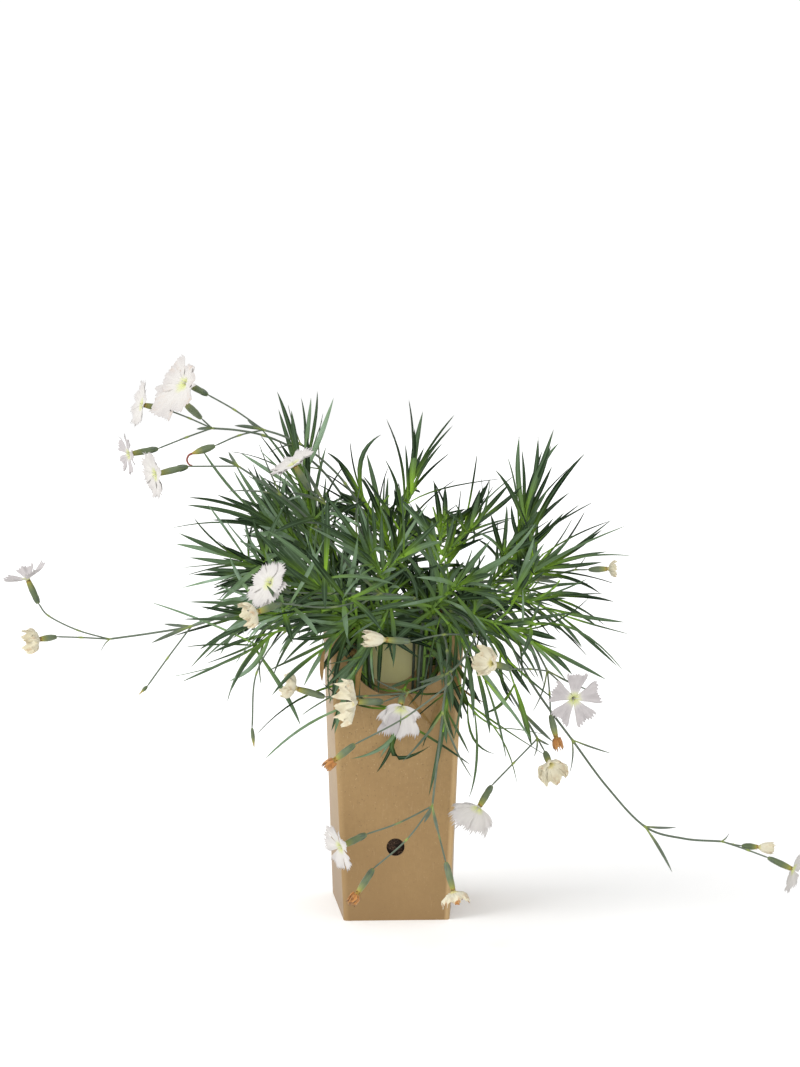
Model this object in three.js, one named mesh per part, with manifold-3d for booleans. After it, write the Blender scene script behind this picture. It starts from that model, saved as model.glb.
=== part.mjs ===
// A garden pink (dianthus) in a nursery pot, standing in a tall kraft carton.
// The carton is a folded sleeve with a floor, a scooped front edge and one vent hole. A round label is
// stuck inside its back wall, and the pot fills its lower part. Leafy stems and flower stems stand in the
// potting soil, rise through the carton and spread over its rim. Millimetres, +Z up, origin under the
// middle of the carton, whose front faces -Y.
import * as THREE from "three";
import { mergeVertices } from "three/addons/utils/BufferGeometryUtils.js";
import Module from "manifold-3d";

const wasm = await Module();
wasm.setup();

// ---- Driving dimensions ----

const GAP = 0.3; // between pieces that touch
const CARTON = {
  height: 230,
  wall: 2,
  corner: 3,
  foot: { front: 42.5, back: 50.5, depth: 45 }, // half widths of the front and back walls, half depth
  rim: { front: 53, back: 58, depth: 51 },
  scoop: { half: 42, deep: 48, segments: 28 },
  vent: { radius: 7.2, x: -1, height: 60, sides: 20 },
};
const POT = { height: 96, wall: 1.2, corner: 6, foot: 35, rim: 41, lip: 1.8, lipHeight: 9, drain: 5 };
const SOIL = { top: 94, swell: 2 };
const LABEL = { radius: 24.5, thick: 0.5, height: 201, x: -1, sides: 28 };
const STEM = {
  sunk: 12, // depth of its foot in the soil
  lean: 0.7, // place at the soil as a share of its place at the rim
  hole: 0.4, // room round it in the soil
  holeSides: 5,
  aboveRim: 4,
  joint: 1.2, // half height of the band that a pair of leaves grows from
  tip: 2.5,
  sides: 5,
};
const LEAFY = { trunk: 1.3, fork: 1.15, tip: 0.7 }; // radii
const FLOWERING = { foot: 1.15, top: 0.85, branch: 0.65 }; // radii
const ROUTE_STEPS = 2; // points of a flower stem for each point of its route
const SHOOT = { firstPair: 0.28, bow: 0.1, lowTilt: 31, highTilt: 12, lowCurl: 26, highCurl: 14 }; // degrees
const LEAF = {
  stations: [0, 0.55, 1],
  profile: [0.5, 1, 0], // share of the width at each station
  width: 4.6,
  keel: 0.3, // depth of the keel as a share of the width
  thinnest: 0.6,
  free: 0.25, // the share of its length from which it also clears its own stem's leaves
  tries: 16,
};
const CALYX = { along: [0, 0.12, 0.6, 1], radii: [1, 2.2, 2.5, 1.9] };
const BUD_TIP = 4.5;
const BLOOM = { neck: 3, thick: 0.7, petals: 5 };

// Outlines of a petal: [share of its half angle, share of the radius].
const OPEN = [[-1, 0.36], [-0.74, 0.9], [-0.36, 0.98], [0, 0.9], [0.36, 1.03], [0.74, 0.93]];
const LIMP = [[-1, 0.5], [-0.72, 0.9], [-0.1, 1.05], [0.3, 0.86], [0.75, 0.93]];
const SHRUNK = [[-1, 0.45], [-0.5, 0.95], [0.1, 0.8], [0.5, 1.05]];

// How each kind of bloom holds its petals. rise: how far the rim of the bloom stands before its middle, and
// rimWave: how much the rim waves, both as shares of the radius.
const PETALS = {
  fresh: { look: "fresh", radius: 20, rise: 0.16, rimWave: 0.05, outline: OPEN },
  funnel: { look: "fresh", radius: 19, rise: 0.43, rimWave: 0.06, outline: OPEN },
  fading: { look: "fading", radius: 12.5, rise: 0.45, rimWave: 0.16, outline: LIMP },
  folded: { look: "fading", radius: 8, rise: 1.7, rimWave: 0.15, outline: LIMP },
  dried: { look: "dried", radius: 6, rise: 1.0, rimWave: 0.3, outline: SHRUNK },
};

const LOOKS = {
  carton: { color: 0xa98557, roughness: 0.9 },
  pot: { color: 0x2b2320, roughness: 0.6 },
  soil: { color: 0x33261c, roughness: 1 },
  label: { color: 0xb9b98c, roughness: 0.7 },
  leafy: { color: 0x44694c, roughness: 0.6 },
  flowering: { color: 0x5f7f5c, roughness: 0.6 },
  fresh: { color: 0xf1eeee, roughness: 0.8 },
  fading: { color: 0xeadfbe, roughness: 0.85 },
  dried: { color: 0xa8662c, roughness: 0.9 },
};

// ---- Where the plant grows ----

// Leafy stems. rim: where the stem passes the height of the rim. fork: where its shoots part. A shoot ends at
// tip and bears pairs of leaves of the given length. turn is the first pair's angle round it, in degrees.
// droop bends the leaves down.
const LEAFY_STEMS = [
  { name: "left_crest", rim: [-22, 3], fork: [-50, -6, 274], shoots: [
    { tip: [-74, -12, 352], pairs: 5, length: 74, turn: 20, droop: 0 },
    { tip: [-94, -34, 316], pairs: 4, length: 72, turn: 65, droop: 0 },
  ] },
  { name: "left_upper", rim: [-26, 11], fork: [-46, 12, 266], shoots: [
    { tip: [-112, 6, 322], pairs: 4, length: 74, turn: 40, droop: 0 },
    { tip: [-72, 46, 330], pairs: 4, length: 72, turn: 10, droop: 0 },
  ] },
  { name: "left_middle", rim: [-40, -4], fork: [-62, -10, 258], shoots: [
    { tip: [-122, -24, 288], pairs: 5, length: 62, turn: 30, droop: 0 },
    { tip: [-116, 22, 270], pairs: 4, length: 60, turn: 75, droop: 0.1 },
  ] },
  { name: "left_lower", rim: [-44, 15], fork: [-66, 24, 250], shoots: [
    { tip: [-122, 36, 236], pairs: 4, length: 66, turn: 50, droop: 0.3 },
    { tip: [-108, 72, 262], pairs: 4, length: 66, turn: 15, droop: 0.2 },
  ] },
  { name: "left_front", rim: [-41, -26], fork: [-60, -52, 250], shoots: [
    { tip: [-106, -78, 248], pairs: 4, length: 66, turn: 25, droop: 0.1 },
    { tip: [-112, -56, 222], pairs: 3, length: 60, turn: 60, droop: 0.35 },
  ] },
  { name: "front_left", rim: [-27, -39], fork: [-32, -66, 246], shoots: [
    { tip: [-62, -98, 222], pairs: 3, length: 60, turn: 35, droop: 0.3 },
    { tip: [-64, -92, 276], pairs: 4, length: 68, turn: 80, droop: 0 },
  ] },
  { name: "front_middle", rim: [-27, -30], fork: [-6, -60, 256], shoots: [
    { tip: [-24, -100, 300], pairs: 5, length: 64, turn: 0, droop: 0 },
    { tip: [-34, -106, 212], pairs: 3, length: 58, turn: 45, droop: 0.4 },
  ] },
  { name: "front_right", rim: [24, -38], fork: [30, -68, 250], shoots: [
    { tip: [46, -102, 276], pairs: 4, length: 66, turn: 70, droop: 0 },
    { tip: [66, -98, 202], pairs: 4, length: 66, turn: 30, droop: 0.5 },
  ] },
  { name: "centre_crest", rim: [23, 14], fork: [4, 4, 284], shoots: [
    { tip: [14, -4, 352], pairs: 5, length: 68, turn: 55, droop: 0 },
    { tip: [-24, 22, 330], pairs: 4, length: 60, turn: 5, droop: 0 },
  ] },
  { name: "centre_right", rim: [23, 2], fork: [30, -4, 272], shoots: [
    { tip: [62, -4, 312], pairs: 5, length: 54, turn: 15, droop: 0 },
    { tip: [44, 50, 308], pairs: 4, length: 60, turn: 60, droop: 0 },
  ] },
  { name: "right_crest", rim: [32, 22], fork: [78, 19, 261], shoots: [
    { tip: [104, 4, 318], pairs: 5, length: 78, turn: 0, droop: 0 },
    { tip: [86, -30, 292], pairs: 4, length: 68, turn: 40, droop: 0 },
  ] },
  { name: "right_middle", rim: [44, -12], fork: [72, -18, 256], shoots: [
    { tip: [128, -14, 284], pairs: 5, length: 64, turn: 70, droop: 0 },
    { tip: [128, -44, 246], pairs: 4, length: 64, turn: 20, droop: 0.1 },
  ] },
  { name: "right_lower", rim: [44, 16], fork: [70, 32, 250], shoots: [
    { tip: [130, 38, 250], pairs: 4, length: 68, turn: 35, droop: 0.2 },
    { tip: [106, 76, 276], pairs: 4, length: 66, turn: 80, droop: 0 },
  ] },
  { name: "right_front", rim: [39, -34], fork: [60, -56, 246], shoots: [
    { tip: [106, -76, 228], pairs: 4, length: 66, turn: 50, droop: 0.2 },
    { tip: [90, -80, 196], pairs: 3, length: 62, turn: 5, droop: 0.4 },
  ] },
  { name: "back_left", rim: [-23, 36], fork: [-34, 60, 256], shoots: [
    { tip: [-62, 98, 298], pairs: 4, length: 68, turn: 45, droop: 0 },
    { tip: [-86, 104, 238], pairs: 4, length: 66, turn: 10, droop: 0.4 },
  ] },
  { name: "back_middle", rim: [-18, 44], fork: [-2, 60, 262], shoots: [
    { tip: [-8, 86, 312], pairs: 5, length: 60, turn: 25, droop: 0 },
    { tip: [8, 122, 280], pairs: 4, length: 66, turn: 70, droop: 0.1 },
    { tip: [-24, 120, 224], pairs: 4, length: 64, turn: 40, droop: 0.5 },
  ] },
  { name: "back_right", rim: [24, 38], fork: [38, 60, 256], shoots: [
    { tip: [64, 92, 306], pairs: 4, length: 68, turn: 0, droop: 0 },
    { tip: [88, 106, 248], pairs: 4, length: 66, turn: 50, droop: 0.3 },
    { tip: [44, 126, 222], pairs: 4, length: 64, turn: 20, droop: 0.5 },
  ] },
];

// Flower stems. route: points above the rim. leaves: pairs on the stem, as point of the route, length and
// first face. A branch leaves the route at the point from, and goes through the points of via to its head.
// head: base of the calyx, the way it opens, its kind, its length and the size of its petals. A bud is
// closed and green, and a tip is the end of a young shoot with no flower.
const FLOWER_STEMS = [
  { name: "high_left", rim: [-21, 16],
    route: [[-16, 4, 295], [-40, -8, 348], [-76, -14, 380], [-105, -10, 391]],
    leaves: [[3, 28, 0], [2, 30, 1]],
    branches: [
      { from: 3, via: [[-128, -10, 407]], head: [[-149, -10, 419], [-0.74, -0.52, 0.42], "fresh", 21, 1.25] },
      { from: 3, via: [[-124, -18, 387]], head: [[-143, -22, 379], [-0.9, -0.2, -0.3], "bud", 17] },
    ] },
  { name: "far_high_left", rim: [-20, 26],
    route: [[-24, 26, 300], [-60, 30, 358], [-106, 28, 385], [-148, 27, 391]],
    leaves: [[3, 16, 0], [1, 42, 1]],
    branches: [
      { from: 3, via: [[-166, 28, 399]], head: [[-184, 30, 406], [-0.93, -0.32, 0.2], "fresh", 19] },
      { from: 3, via: [], head: [[-156, 22, 399], [-0.72, -0.1, 0.68], "bud", 20] },
      { from: 3, via: [[-168, 20, 384]], head: [[-191, 17, 375], [-0.88, -0.44, -0.16], "fresh", 23, 0.9] },
    ] },
  { name: "left_arm", rim: [-32, -13],
    route: [[-40, -26, 284], [-64, -36, 316], [-92, -44, 342], [-124, -44, 364]],
    leaves: [[3, 24, 0], [2, 44, 1]],
    branches: [
      { from: 3, via: [], head: [[-163, -46, 364], [-0.89, -0.42, -0.2], "fresh", 25] },
    ] },
  { name: "upper_left", rim: [-22, -8],
    route: [[-14, -30, 276], [-32, -46, 310], [-56, -56, 335]],
    leaves: [[2, 44, 0], [1, 50, 1]],
    branches: [{ from: 2, via: [], head: [[-68, -60, 346], [-0.5, -0.2, 0.84], "fresh", 22] }] },
  { name: "front_left_pair", rim: [23, -14],
    route: [[16, -46, 256], [12, -82, 264], [-15, -100, 270]],
    leaves: [[2, 46, 0]],
    branches: [
      { from: 2, via: [[-52, -100, 270]], head: [[-83, -100, 271], [-0.68, -0.6, 0.4], "fresh", 20] },
      { from: 2, via: [[-50, -119, 262]], head: [[-89, -128, 266], [-0.88, -0.42, -0.25], "fading", 19] },
    ] },
  { name: "far_left", rim: [-30, -22],
    route: [[-50, -42, 258], [-100, -40, 256], [-163, -22, 235], [-230, -8, 223]],
    leaves: [[2, 36, 0], [3, 14, 1]],
    branches: [
      { from: 3, via: [[-256, -4, 230], [-279, 0, 241]],
        head: [[-287, 0, 251], [-0.36, -0.16, 0.92], "funnel", 20] },
      { from: 3, via: [[-252, -12, 225]], head: [[-271, -14, 226], [-0.82, -0.57, -0.05], "fading", 14] },
      { from: 2, via: [[-182, -26, 210]], head: [[-198, -28, 188], [-0.7, -0.05, -0.7], "tip", 6] },
      { from: 0, via: [[-88, -66, 236], [-110, -66, 204]],
        head: [[-114, -62, 160], [0.1, 0, -0.98], "tip", 12] },
    ] },
  { name: "front_hanging", rim: [26, -25],
    route: [[30, -56, 246], [37, -92, 224], [32, -116, 180], [24, -122, 110]],
    leaves: [[3, 24, 0], [2, 62, 1]],
    branches: [
      { from: 3, via: [[-2, -126, 98]], head: [[-26, -127, 90], [-0.85, -0.45, -0.3], "fresh", 21] },
      { from: 3, via: [[4, -130, 86]], head: [[-21, -133, 65], [-0.55, -0.1, -0.83], "dried", 20] },
      { from: 3, via: [[29, -126, 88]], head: [[34, -127, 68], [0.25, -0.1, -0.96], "fading", 21] },
    ] },
  { name: "front_across", rim: [20, -44],
    route: [[42, -66, 252], [58, -92, 236], [38, -108, 210], [5, -117, 196]],
    leaves: [[3, 28, 0], [2, 44, 1]],
    branches: [
      { from: 3, via: [], head: [[-13, -126, 191], [-0.93, -0.3, 0.05], "fading", 20, 1.25] },
      { from: 2, via: [[35, -143, 207], [2, -159, 185]],
        head: [[-35, -148, 163], [-0.8, -0.1, -0.6], "dried", 17] },
      { from: 3, via: [], head: [[1, -121, 195], [-0.1, -0.78, -0.6], "funnel", 10, 1.15] },
      { from: 1, via: [[34, -100, 238]], head: [[8, -108, 234], [-0.97, -0.2, 0.1], "folded", 18] },
      { from: 3, via: [[-26, -106, 192]], head: [[-57, -103, 191], [-0.93, -0.1, 0.3], "fading", 21] },
    ] },
  { name: "right_triple", rim: [38, -5],
    route: [[68, -34, 252], [98, -62, 236], [116, -78, 206]],
    leaves: [[2, 36, 0], [1, 46, 1]],
    branches: [
      { from: 2, via: [[100, -100, 211]], head: [[85, -112, 213], [-0.75, -0.58, 0.3], "fading", 19, 1.15] },
      { from: 2, via: [[126, -87, 197]], head: [[130, -94, 190], [0.2, -0.95, -0.05], "fresh", 12, 1.15] },
      { from: 2, via: [[118, -76, 188]], head: [[119, -75, 171], [0.22, -0.2, -0.95], "dried", 16] },
    ] },
  { name: "right_pair", rim: [32, -15],
    route: [[54, -46, 246], [78, -62, 204], [96, -68, 174], [109, -74, 152]],
    leaves: [[3, 16, 0], [2, 42, 1]],
    branches: [
      { from: 3, via: [], head: [[114, -80, 143], [0.2, -0.8, -0.55], "fading", 12, 1.2] },
      { from: 3, via: [[90, -76, 133]], head: [[73, -78, 116], [-0.5, -0.55, -0.66], "funnel", 20, 1.05] },
    ] },
  { name: "far_right", rim: [40, 5],
    route: [[74, -6, 246], [108, -24, 190], [142, -32, 142], [202, -27, 70], [266, -22, 56]],
    leaves: [[3, 46, 0], [2, 32, 1], [4, 14, 0]],
    branches: [
      { from: 4, via: [[287, -24, 49]], head: [[303, -25, 43], [0.9, -0.1, -0.42], "fresh", 20] },
      { from: 4, via: [[276, -16, 52]], head: [[284, -13, 50], [0.98, 0.06, -0.1], "folded", 12, 0.75] },
    ] },
  { name: "right_behind", rim: [30, 9],
    route: [[66, 24, 262], [112, 24, 266], [150, 24, 274]],
    leaves: [[1, 38, 0], [2, 16, 1]],
    branches: [{ from: 2, via: [], head: [[161, 24, 274], [0.98, -0.1, 0.05], "fading", 14, 0.65] }] },
  { name: "back_arching", rim: [18, 31],
    route: [[16, 58, 258], [22, 96, 244], [14, 122, 206], [0, 132, 158]],
    leaves: [[3, 24, 0], [1, 44, 1], [2, 36, 0]],
    branches: [
      { from: 3, via: [[-12, 138, 146]], head: [[-22, 146, 138], [-0.5, 0.75, -0.45], "fresh", 20] },
      { from: 3, via: [[4, 136, 142]], head: [[10, 140, 128], [0.35, 0.3, -0.9], "bud", 18] },
    ] },
];

// ---- Vectors, curves and seeded draws ----

const vec = (p) => new THREE.Vector3(p[0], p[1], p[2]);
const UP = vec([0, 0, 1]);
const BACK = vec([0, 1, 0]);
const mix = (a, b, t) => a + (b - a) * t;
const radians = THREE.MathUtils.degToRad;
const toward = (point, direction, distance) => point.clone().addScaledVector(direction, distance);

// Mulberry32: numbers from 0 to 1 that depend on the seed alone.
function stream(seed) {
  let state = seed >>> 0;
  return () => {
    state = (state + 0x6d2b79f5) >>> 0;
    let t = state;
    t = Math.imul(t ^ (t >>> 15), t | 1);
    t ^= t + Math.imul(t ^ (t >>> 7), t | 61);
    return ((t ^ (t >>> 14)) >>> 0) / 4294967296;
  };
}

// The point at a share of the uniform Catmull-Rom curve through the given points.
function onCurve(points, share) {
  const at = share * (points.length - 1);
  const i = Math.min(Math.floor(at), points.length - 2);
  const t = at - i;
  const [b, c] = [points[i], points[i + 1]];
  const a = i > 0 ? points[i - 1] : toward(b, b.clone().sub(c), 1);
  const d = i + 2 < points.length ? points[i + 2] : toward(c, c.clone().sub(b), 1);
  const point = b.clone().multiplyScalar(1 - 2.5 * t * t + 1.5 * t * t * t);
  point.addScaledVector(a, -0.5 * t + t * t - 0.5 * t * t * t);
  point.addScaledVector(c, 0.5 * t + 2 * t * t - 1.5 * t * t * t);
  return point.addScaledVector(d, -0.5 * t * t + 0.5 * t * t * t);
}

// Two directions square to a tangent and to each other, the first as near to the wanted one as can be.
function squareTo(tangent, wanted) {
  const first = toward(wanted, tangent, -wanted.dot(tangent)).normalize();
  return [first, tangent.clone().cross(first)];
}

// The tangent and two directions square to it at each point of a line, carried along it without a twist.
function framesOf(line, turn) {
  let first = null;
  return line.map((_, i) => {
    const before = line[Math.max(i - 1, 0)];
    const after = line[Math.min(i + 1, line.length - 1)];
    const tangent = after.clone().sub(before).normalize();
    if (first === null) {
      const [start, side] = squareTo(tangent, Math.abs(tangent.y) > 0.9 ? UP : BACK);
      first = start.multiplyScalar(Math.cos(turn)).addScaledVector(side, Math.sin(turn));
    }
    const [here, second] = squareTo(tangent, first);
    first = here;
    return { tangent, first: here, second };
  });
}

// ---- Closed solids ----

function solidOf(positions, triangles) {
  const geometry = new THREE.BufferGeometry();
  geometry.setAttribute("position", new THREE.Float32BufferAttribute(positions, 3));
  geometry.setIndex(triangles);
  const merged = mergeVertices(geometry, 1e-5);
  const vertProperties = merged.attributes.position.array;
  const triVerts = new Uint32Array(merged.index.array);
  return new wasm.Manifold(new wasm.Mesh({ numProp: 3, vertProperties, triVerts }));
}

// A skin over rings of points, counted anticlockwise seen from the last ring. An end may be a single point.
function loft(rings) {
  const positions = rings.flat().flatMap((p) => [p.x, p.y, p.z]);
  const starts = rings.map((_, i) => rings.slice(0, i).flat().length);
  const triangles = [];
  for (let i = 0; i + 1 < rings.length; i++) {
    const [a, b] = [rings[i].length, rings[i + 1].length];
    const count = Math.max(a, b);
    for (let k = 0; k < count; k++) {
      const next = (k + 1) % count;
      const [low, lowNext] = [starts[i] + (k % a), starts[i] + (next % a)];
      const [high, highNext] = [starts[i + 1] + (k % b), starts[i + 1] + (next % b)];
      if (a > 1) triangles.push(low, lowNext, highNext);
      if (b > 1) triangles.push(low, highNext, high);
    }
  }
  const last = rings.length - 1;
  for (let k = 1; k + 1 < rings[0].length; k++) triangles.push(starts[0], starts[0] + k + 1, starts[0] + k);
  for (let k = 1; k + 1 < rings[last].length; k++)
    triangles.push(starts[last], starts[last] + k, starts[last] + k + 1);
  return solidOf(positions, triangles);
}

const joined = (solids) => solids.reduce((all, one) => all.add(one));

// A ring of points round a centre, square to a tangent.
function ringAt(centre, tangent, wanted, radius, sides) {
  const [first, second] = squareTo(tangent, wanted);
  return Array.from({ length: sides }, (_, k) => {
    const angle = (k / sides) * 2 * Math.PI;
    return toward(toward(centre, first, radius * Math.cos(angle)), second, radius * Math.sin(angle));
  });
}

// A round stem along a line, with a radius at each point. A radius of zero is a pointed end.
function tube(line, radii) {
  const frames = framesOf(line, 0);
  const ring = (point, i) => ringAt(point, frames[i].tangent, frames[i].first, radii[i], STEM.sides);
  return loft(line.map((point, i) => (radii[i] === 0 ? [point] : ring(point, i))));
}

const evenRadii = (line, from, to) => line.map((_, i) => mix(from, to, i / (line.length - 1)));

// A square stem with a pointed end, and leaves that grow out of its faces at its joints. A leaf takes the
// place of one of the two triangles that a face has at a joint.
function leafyTube(line, radii, frames, leaves) {
  const sides = 4;
  const positions = [];
  const triangles = [];
  const put = (p) => positions.push(p.x, p.y, p.z) / 3 - 1;
  const ring = (i, shift) => {
    const { tangent, first, second } = frames[i];
    const centre = toward(line[i], tangent, shift);
    return Array.from({ length: sides }, (_, k) => {
      const angle = ((k - 0.5) / sides) * 2 * Math.PI;
      const out = toward(centre, first, radii[i] * Math.cos(angle));
      return put(toward(out, second, radii[i] * Math.sin(angle)));
    });
  };
  const close = (low, high) => {
    low.forEach((_, k) => {
      const next = (k + 1) % low.length;
      triangles.push(low[k], low[next], high[next], low[k], high[next], high[k]);
    });
  };
  const point = (low, tip) => low.forEach((_, k) => triangles.push(low[k], low[(k + 1) % low.length], tip));
  const grow = (root, leaf) => {
    const sections = LEAF.stations.slice(1, -1).map((_, i) => bladeSection(leaf, i + 1).map(put));
    [root, ...sections].forEach((section, i) => {
      if (i < sections.length) close(section, sections[i]);
      else point(section, put(leafPoint(leaf, 1)));
    });
  };
  let last = ring(0, 0);
  for (let k = 1; k + 1 < sides; k++) triangles.push(last[0], last[k + 1], last[k]);
  for (let i = 1; i < line.length; i++) {
    const here = leaves.filter(({ at }) => at === i);
    const low = ring(i, here.length ? -STEM.joint : 0);
    close(last, low);
    last = low;
    if (!here.length) continue;
    const high = ring(i, STEM.joint);
    for (let k = 0; k < sides; k++) {
      const next = (k + 1) % sides;
      const root = [low[k], high[next], high[k]];
      const leaf = here.find(({ face }) => face === k);
      triangles.push(low[k], low[next], high[next]);
      if (leaf) grow(root, leaf);
      else triangles.push(...root);
    }
    last = high;
  }
  const end = line.length - 1;
  point(last, put(toward(line[end], frames[end].tangent, STEM.joint + STEM.tip)));
  return solidOf(positions, triangles);
}

// ---- Room: what stands already, as rods, so that no piece crosses another ----

const rods = [];
const ROOM = { leaf: 0.5, sibling: 0.2, stem: 0.7, wall: 0.8, passes: 120 };

// The nearest points of two segments: the share along the first, and the way to it from the second.
function nearest(p, q, r, s) {
  const along1 = q.clone().sub(p);
  const along2 = s.clone().sub(r);
  const offset = p.clone().sub(r);
  const [a, e, f] = [along1.dot(along1), along2.dot(along2), along2.dot(offset)];
  const [b, c] = [along1.dot(along2), along1.dot(offset)];
  const clamp = (x) => Math.min(Math.max(x, 0), 1);
  const spread = a * e - b * b;
  let u = spread > 1e-9 ? clamp((b * f - c * e) / spread) : 0;
  let v = (b * u + f) / e;
  if (v < 0) {
    v = 0;
    u = clamp(-c / a);
  } else if (v > 1) {
    v = 1;
    u = clamp((b - c) / a);
  }
  return [u, offset.addScaledVector(along1, u).addScaledVector(along2, -v)];
}

function addRods(owner, line, radii) {
  for (let i = 0; i + 1 < line.length; i++) {
    const middle = line[i].clone().lerp(line[i + 1], 0.5);
    const reach = line[i].distanceTo(line[i + 1]) / 2 + Math.max(radii[i], radii[i + 1]);
    rods.push({ owner, a: line[i], b: line[i + 1], r: Math.max(radii[i], radii[i + 1]), middle, reach });
  }
}

// Whether a line keeps the wanted room to every rod, of its own owner or of the others.
function hasRoom(owner, own, line, radii, room) {
  for (let i = 0; i + 1 < line.length; i++) {
    const middle = line[i].clone().lerp(line[i + 1], 0.5);
    const radius = Math.max(radii[i], radii[i + 1]);
    const reach = line[i].distanceTo(line[i + 1]) / 2 + radius + room;
    for (const rod of rods) {
      if ((rod.owner === owner) !== own || middle.distanceTo(rod.middle) > reach + rod.reach) continue;
      const [, way] = nearest(line[i], line[i + 1], rod.a, rod.b);
      if (way.length() < radius + rod.r + room) return false;
    }
  }
  return true;
}

// Moves the free points of a line aside until it clears the rods of other owners.
function bendClear(owner, line, radii, firstFree, lastFree) {
  for (let pass = 0; pass < ROOM.passes; pass++) {
    let moved = false;
    for (let i = 0; i + 1 < line.length; i++) {
      const radius = Math.max(radii[i], radii[i + 1]);
      for (const rod of rods) {
        if (rod.owner === owner) continue;
        const [u, way] = nearest(line[i], line[i + 1], rod.a, rod.b);
        const missing = radius + rod.r + ROOM.stem - way.length();
        if (missing <= 0) continue;
        moved = true;
        way.normalize().multiplyScalar(missing + 0.1);
        if (i >= firstFree && i <= lastFree) line[i].addScaledVector(way, 1 - u);
        if (i + 1 >= firstFree && i + 1 <= lastFree) line[i + 1].addScaledVector(way, u);
      }
    }
    if (!moved) return;
  }
}

// ---- The carton's shape ----

// Its outer section at a height: half widths in front and behind, and half depth.
function sectionAt(z, inset = 0) {
  const t = z / CARTON.height;
  return {
    front: mix(CARTON.foot.front, CARTON.rim.front, t) - inset,
    back: mix(CARTON.foot.back, CARTON.rim.back, t) - inset,
    depth: mix(CARTON.foot.depth, CARTON.rim.depth, t) - inset,
  };
}

// The height of the front wall's edge: a half ellipse is cut out of it.
function frontEdge(x) {
  const share = Math.min(Math.abs(x) / CARTON.scoop.half, 1);
  return CARTON.height - CARTON.scoop.deep * Math.sqrt(1 - share * share);
}

// Whether a ball of the radius stands clear of the carton's walls and of what fills it.
function clearOfCarton(p, radius) {
  const room = radius + ROOM.wall;
  if (p.z > CARTON.height + room) return true;
  const { front, back, depth } = sectionAt(Math.max(p.z, 0));
  const half = mix(front, back, (p.y + depth) / (2 * depth));
  const outside = Math.max(Math.abs(p.x) - half, Math.abs(p.y) - depth);
  if (outside > room) return p.z > room;
  if (outside < -CARTON.wall - room) return p.z > CARTON.height - CARTON.scoop.deep;
  return p.y < 0 && Math.abs(p.x) < CARTON.scoop.half - room && p.z > frontEdge(p.x) + room;
}

function lineClearOfCarton(line, radii) {
  const step = 4;
  for (let i = 0; i + 1 < line.length; i++) {
    const count = Math.ceil(line[i].distanceTo(line[i + 1]) / step);
    const radius = Math.max(radii[i], radii[i + 1]);
    for (let k = 0; k <= count; k++)
      if (!clearOfCarton(line[i].clone().lerp(line[i + 1], k / count), radius)) return false;
  }
  return true;
}

// A ring round a section: four corners, each with a few points.
function sectionRing({ front, back, depth }, corner, z) {
  const steps = 2;
  const corners = [[front, -depth, -90], [back, depth, 0], [-back, depth, 90], [-front, -depth, 180]];
  return corners.flatMap(([x, y, from]) =>
    Array.from({ length: steps + 1 }, (_, k) => {
      const angle = radians(from + (90 * k) / steps);
      const [cx, cy] = [x - Math.sign(x) * corner, y - Math.sign(y) * corner];
      return new THREE.Vector3(cx + corner * Math.cos(angle), cy + corner * Math.sin(angle), z);
    }),
  );
}

// A prism along Y through a round or long outline in the XZ plane.
function cutter(centre, radiusX, radiusZ, sides, [fromY, toY]) {
  const ring = (y) =>
    Array.from({ length: sides }, (_, k) => {
      const angle = (k / sides) * 2 * Math.PI;
      return new THREE.Vector3(centre.x + radiusX * Math.cos(angle), y, centre.z + radiusZ * Math.sin(angle));
    });
  return loft([ring(toY), ring(fromY)]);
}

function cartonSolid() {
  const { height, wall, corner, scoop, vent } = CARTON;
  const above = height + 20;
  const outer = loft([0, height].map((z) => sectionRing(sectionAt(z), corner, z)));
  const inner = loft([wall, above].map((z) => sectionRing(sectionAt(z, wall), corner - wall / 2, z)));
  const span = [-CARTON.rim.depth - 10, -CARTON.foot.depth + 10];
  const ventCentre = new THREE.Vector3(vent.x, 0, vent.height);
  const scooped = cutter(new THREE.Vector3(0, 0, height), scoop.half, scoop.deep, scoop.segments, span);
  const vented = cutter(ventCentre, vent.radius, vent.radius, vent.sides, span);
  return outer.subtract(inner).subtract(scooped).subtract(vented);
}

// ---- Pot, soil and label ----

const square = (half) => ({ front: half, back: half, depth: half });

function potSolid() {
  const { height, wall, corner, foot, rim, lip, lipHeight, drain } = POT;
  const slope = (z) => mix(foot, rim, z / height);
  const prism = (levels, grown, round) =>
    loft(levels.map((z) => sectionRing(square(slope(z) + grown), round, z)));
  const body = prism([0, height], 0, corner);
  const collar = prism([height - lipHeight, height], lip, corner);
  const inside = prism([wall, height + 5], -wall, corner - wall);
  const hole = (x, y) =>
    loft([-1, wall + 1].map((z) => ringAt(new THREE.Vector3(x, y, z), UP, BACK, drain, 8)));
  const spread = foot * 0.6;
  let pot = body.add(collar).subtract(inside);
  for (const x of [-spread, 0, spread]) for (const y of [-spread, spread]) pot = pot.subtract(hole(x, y));
  return pot;
}

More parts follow.
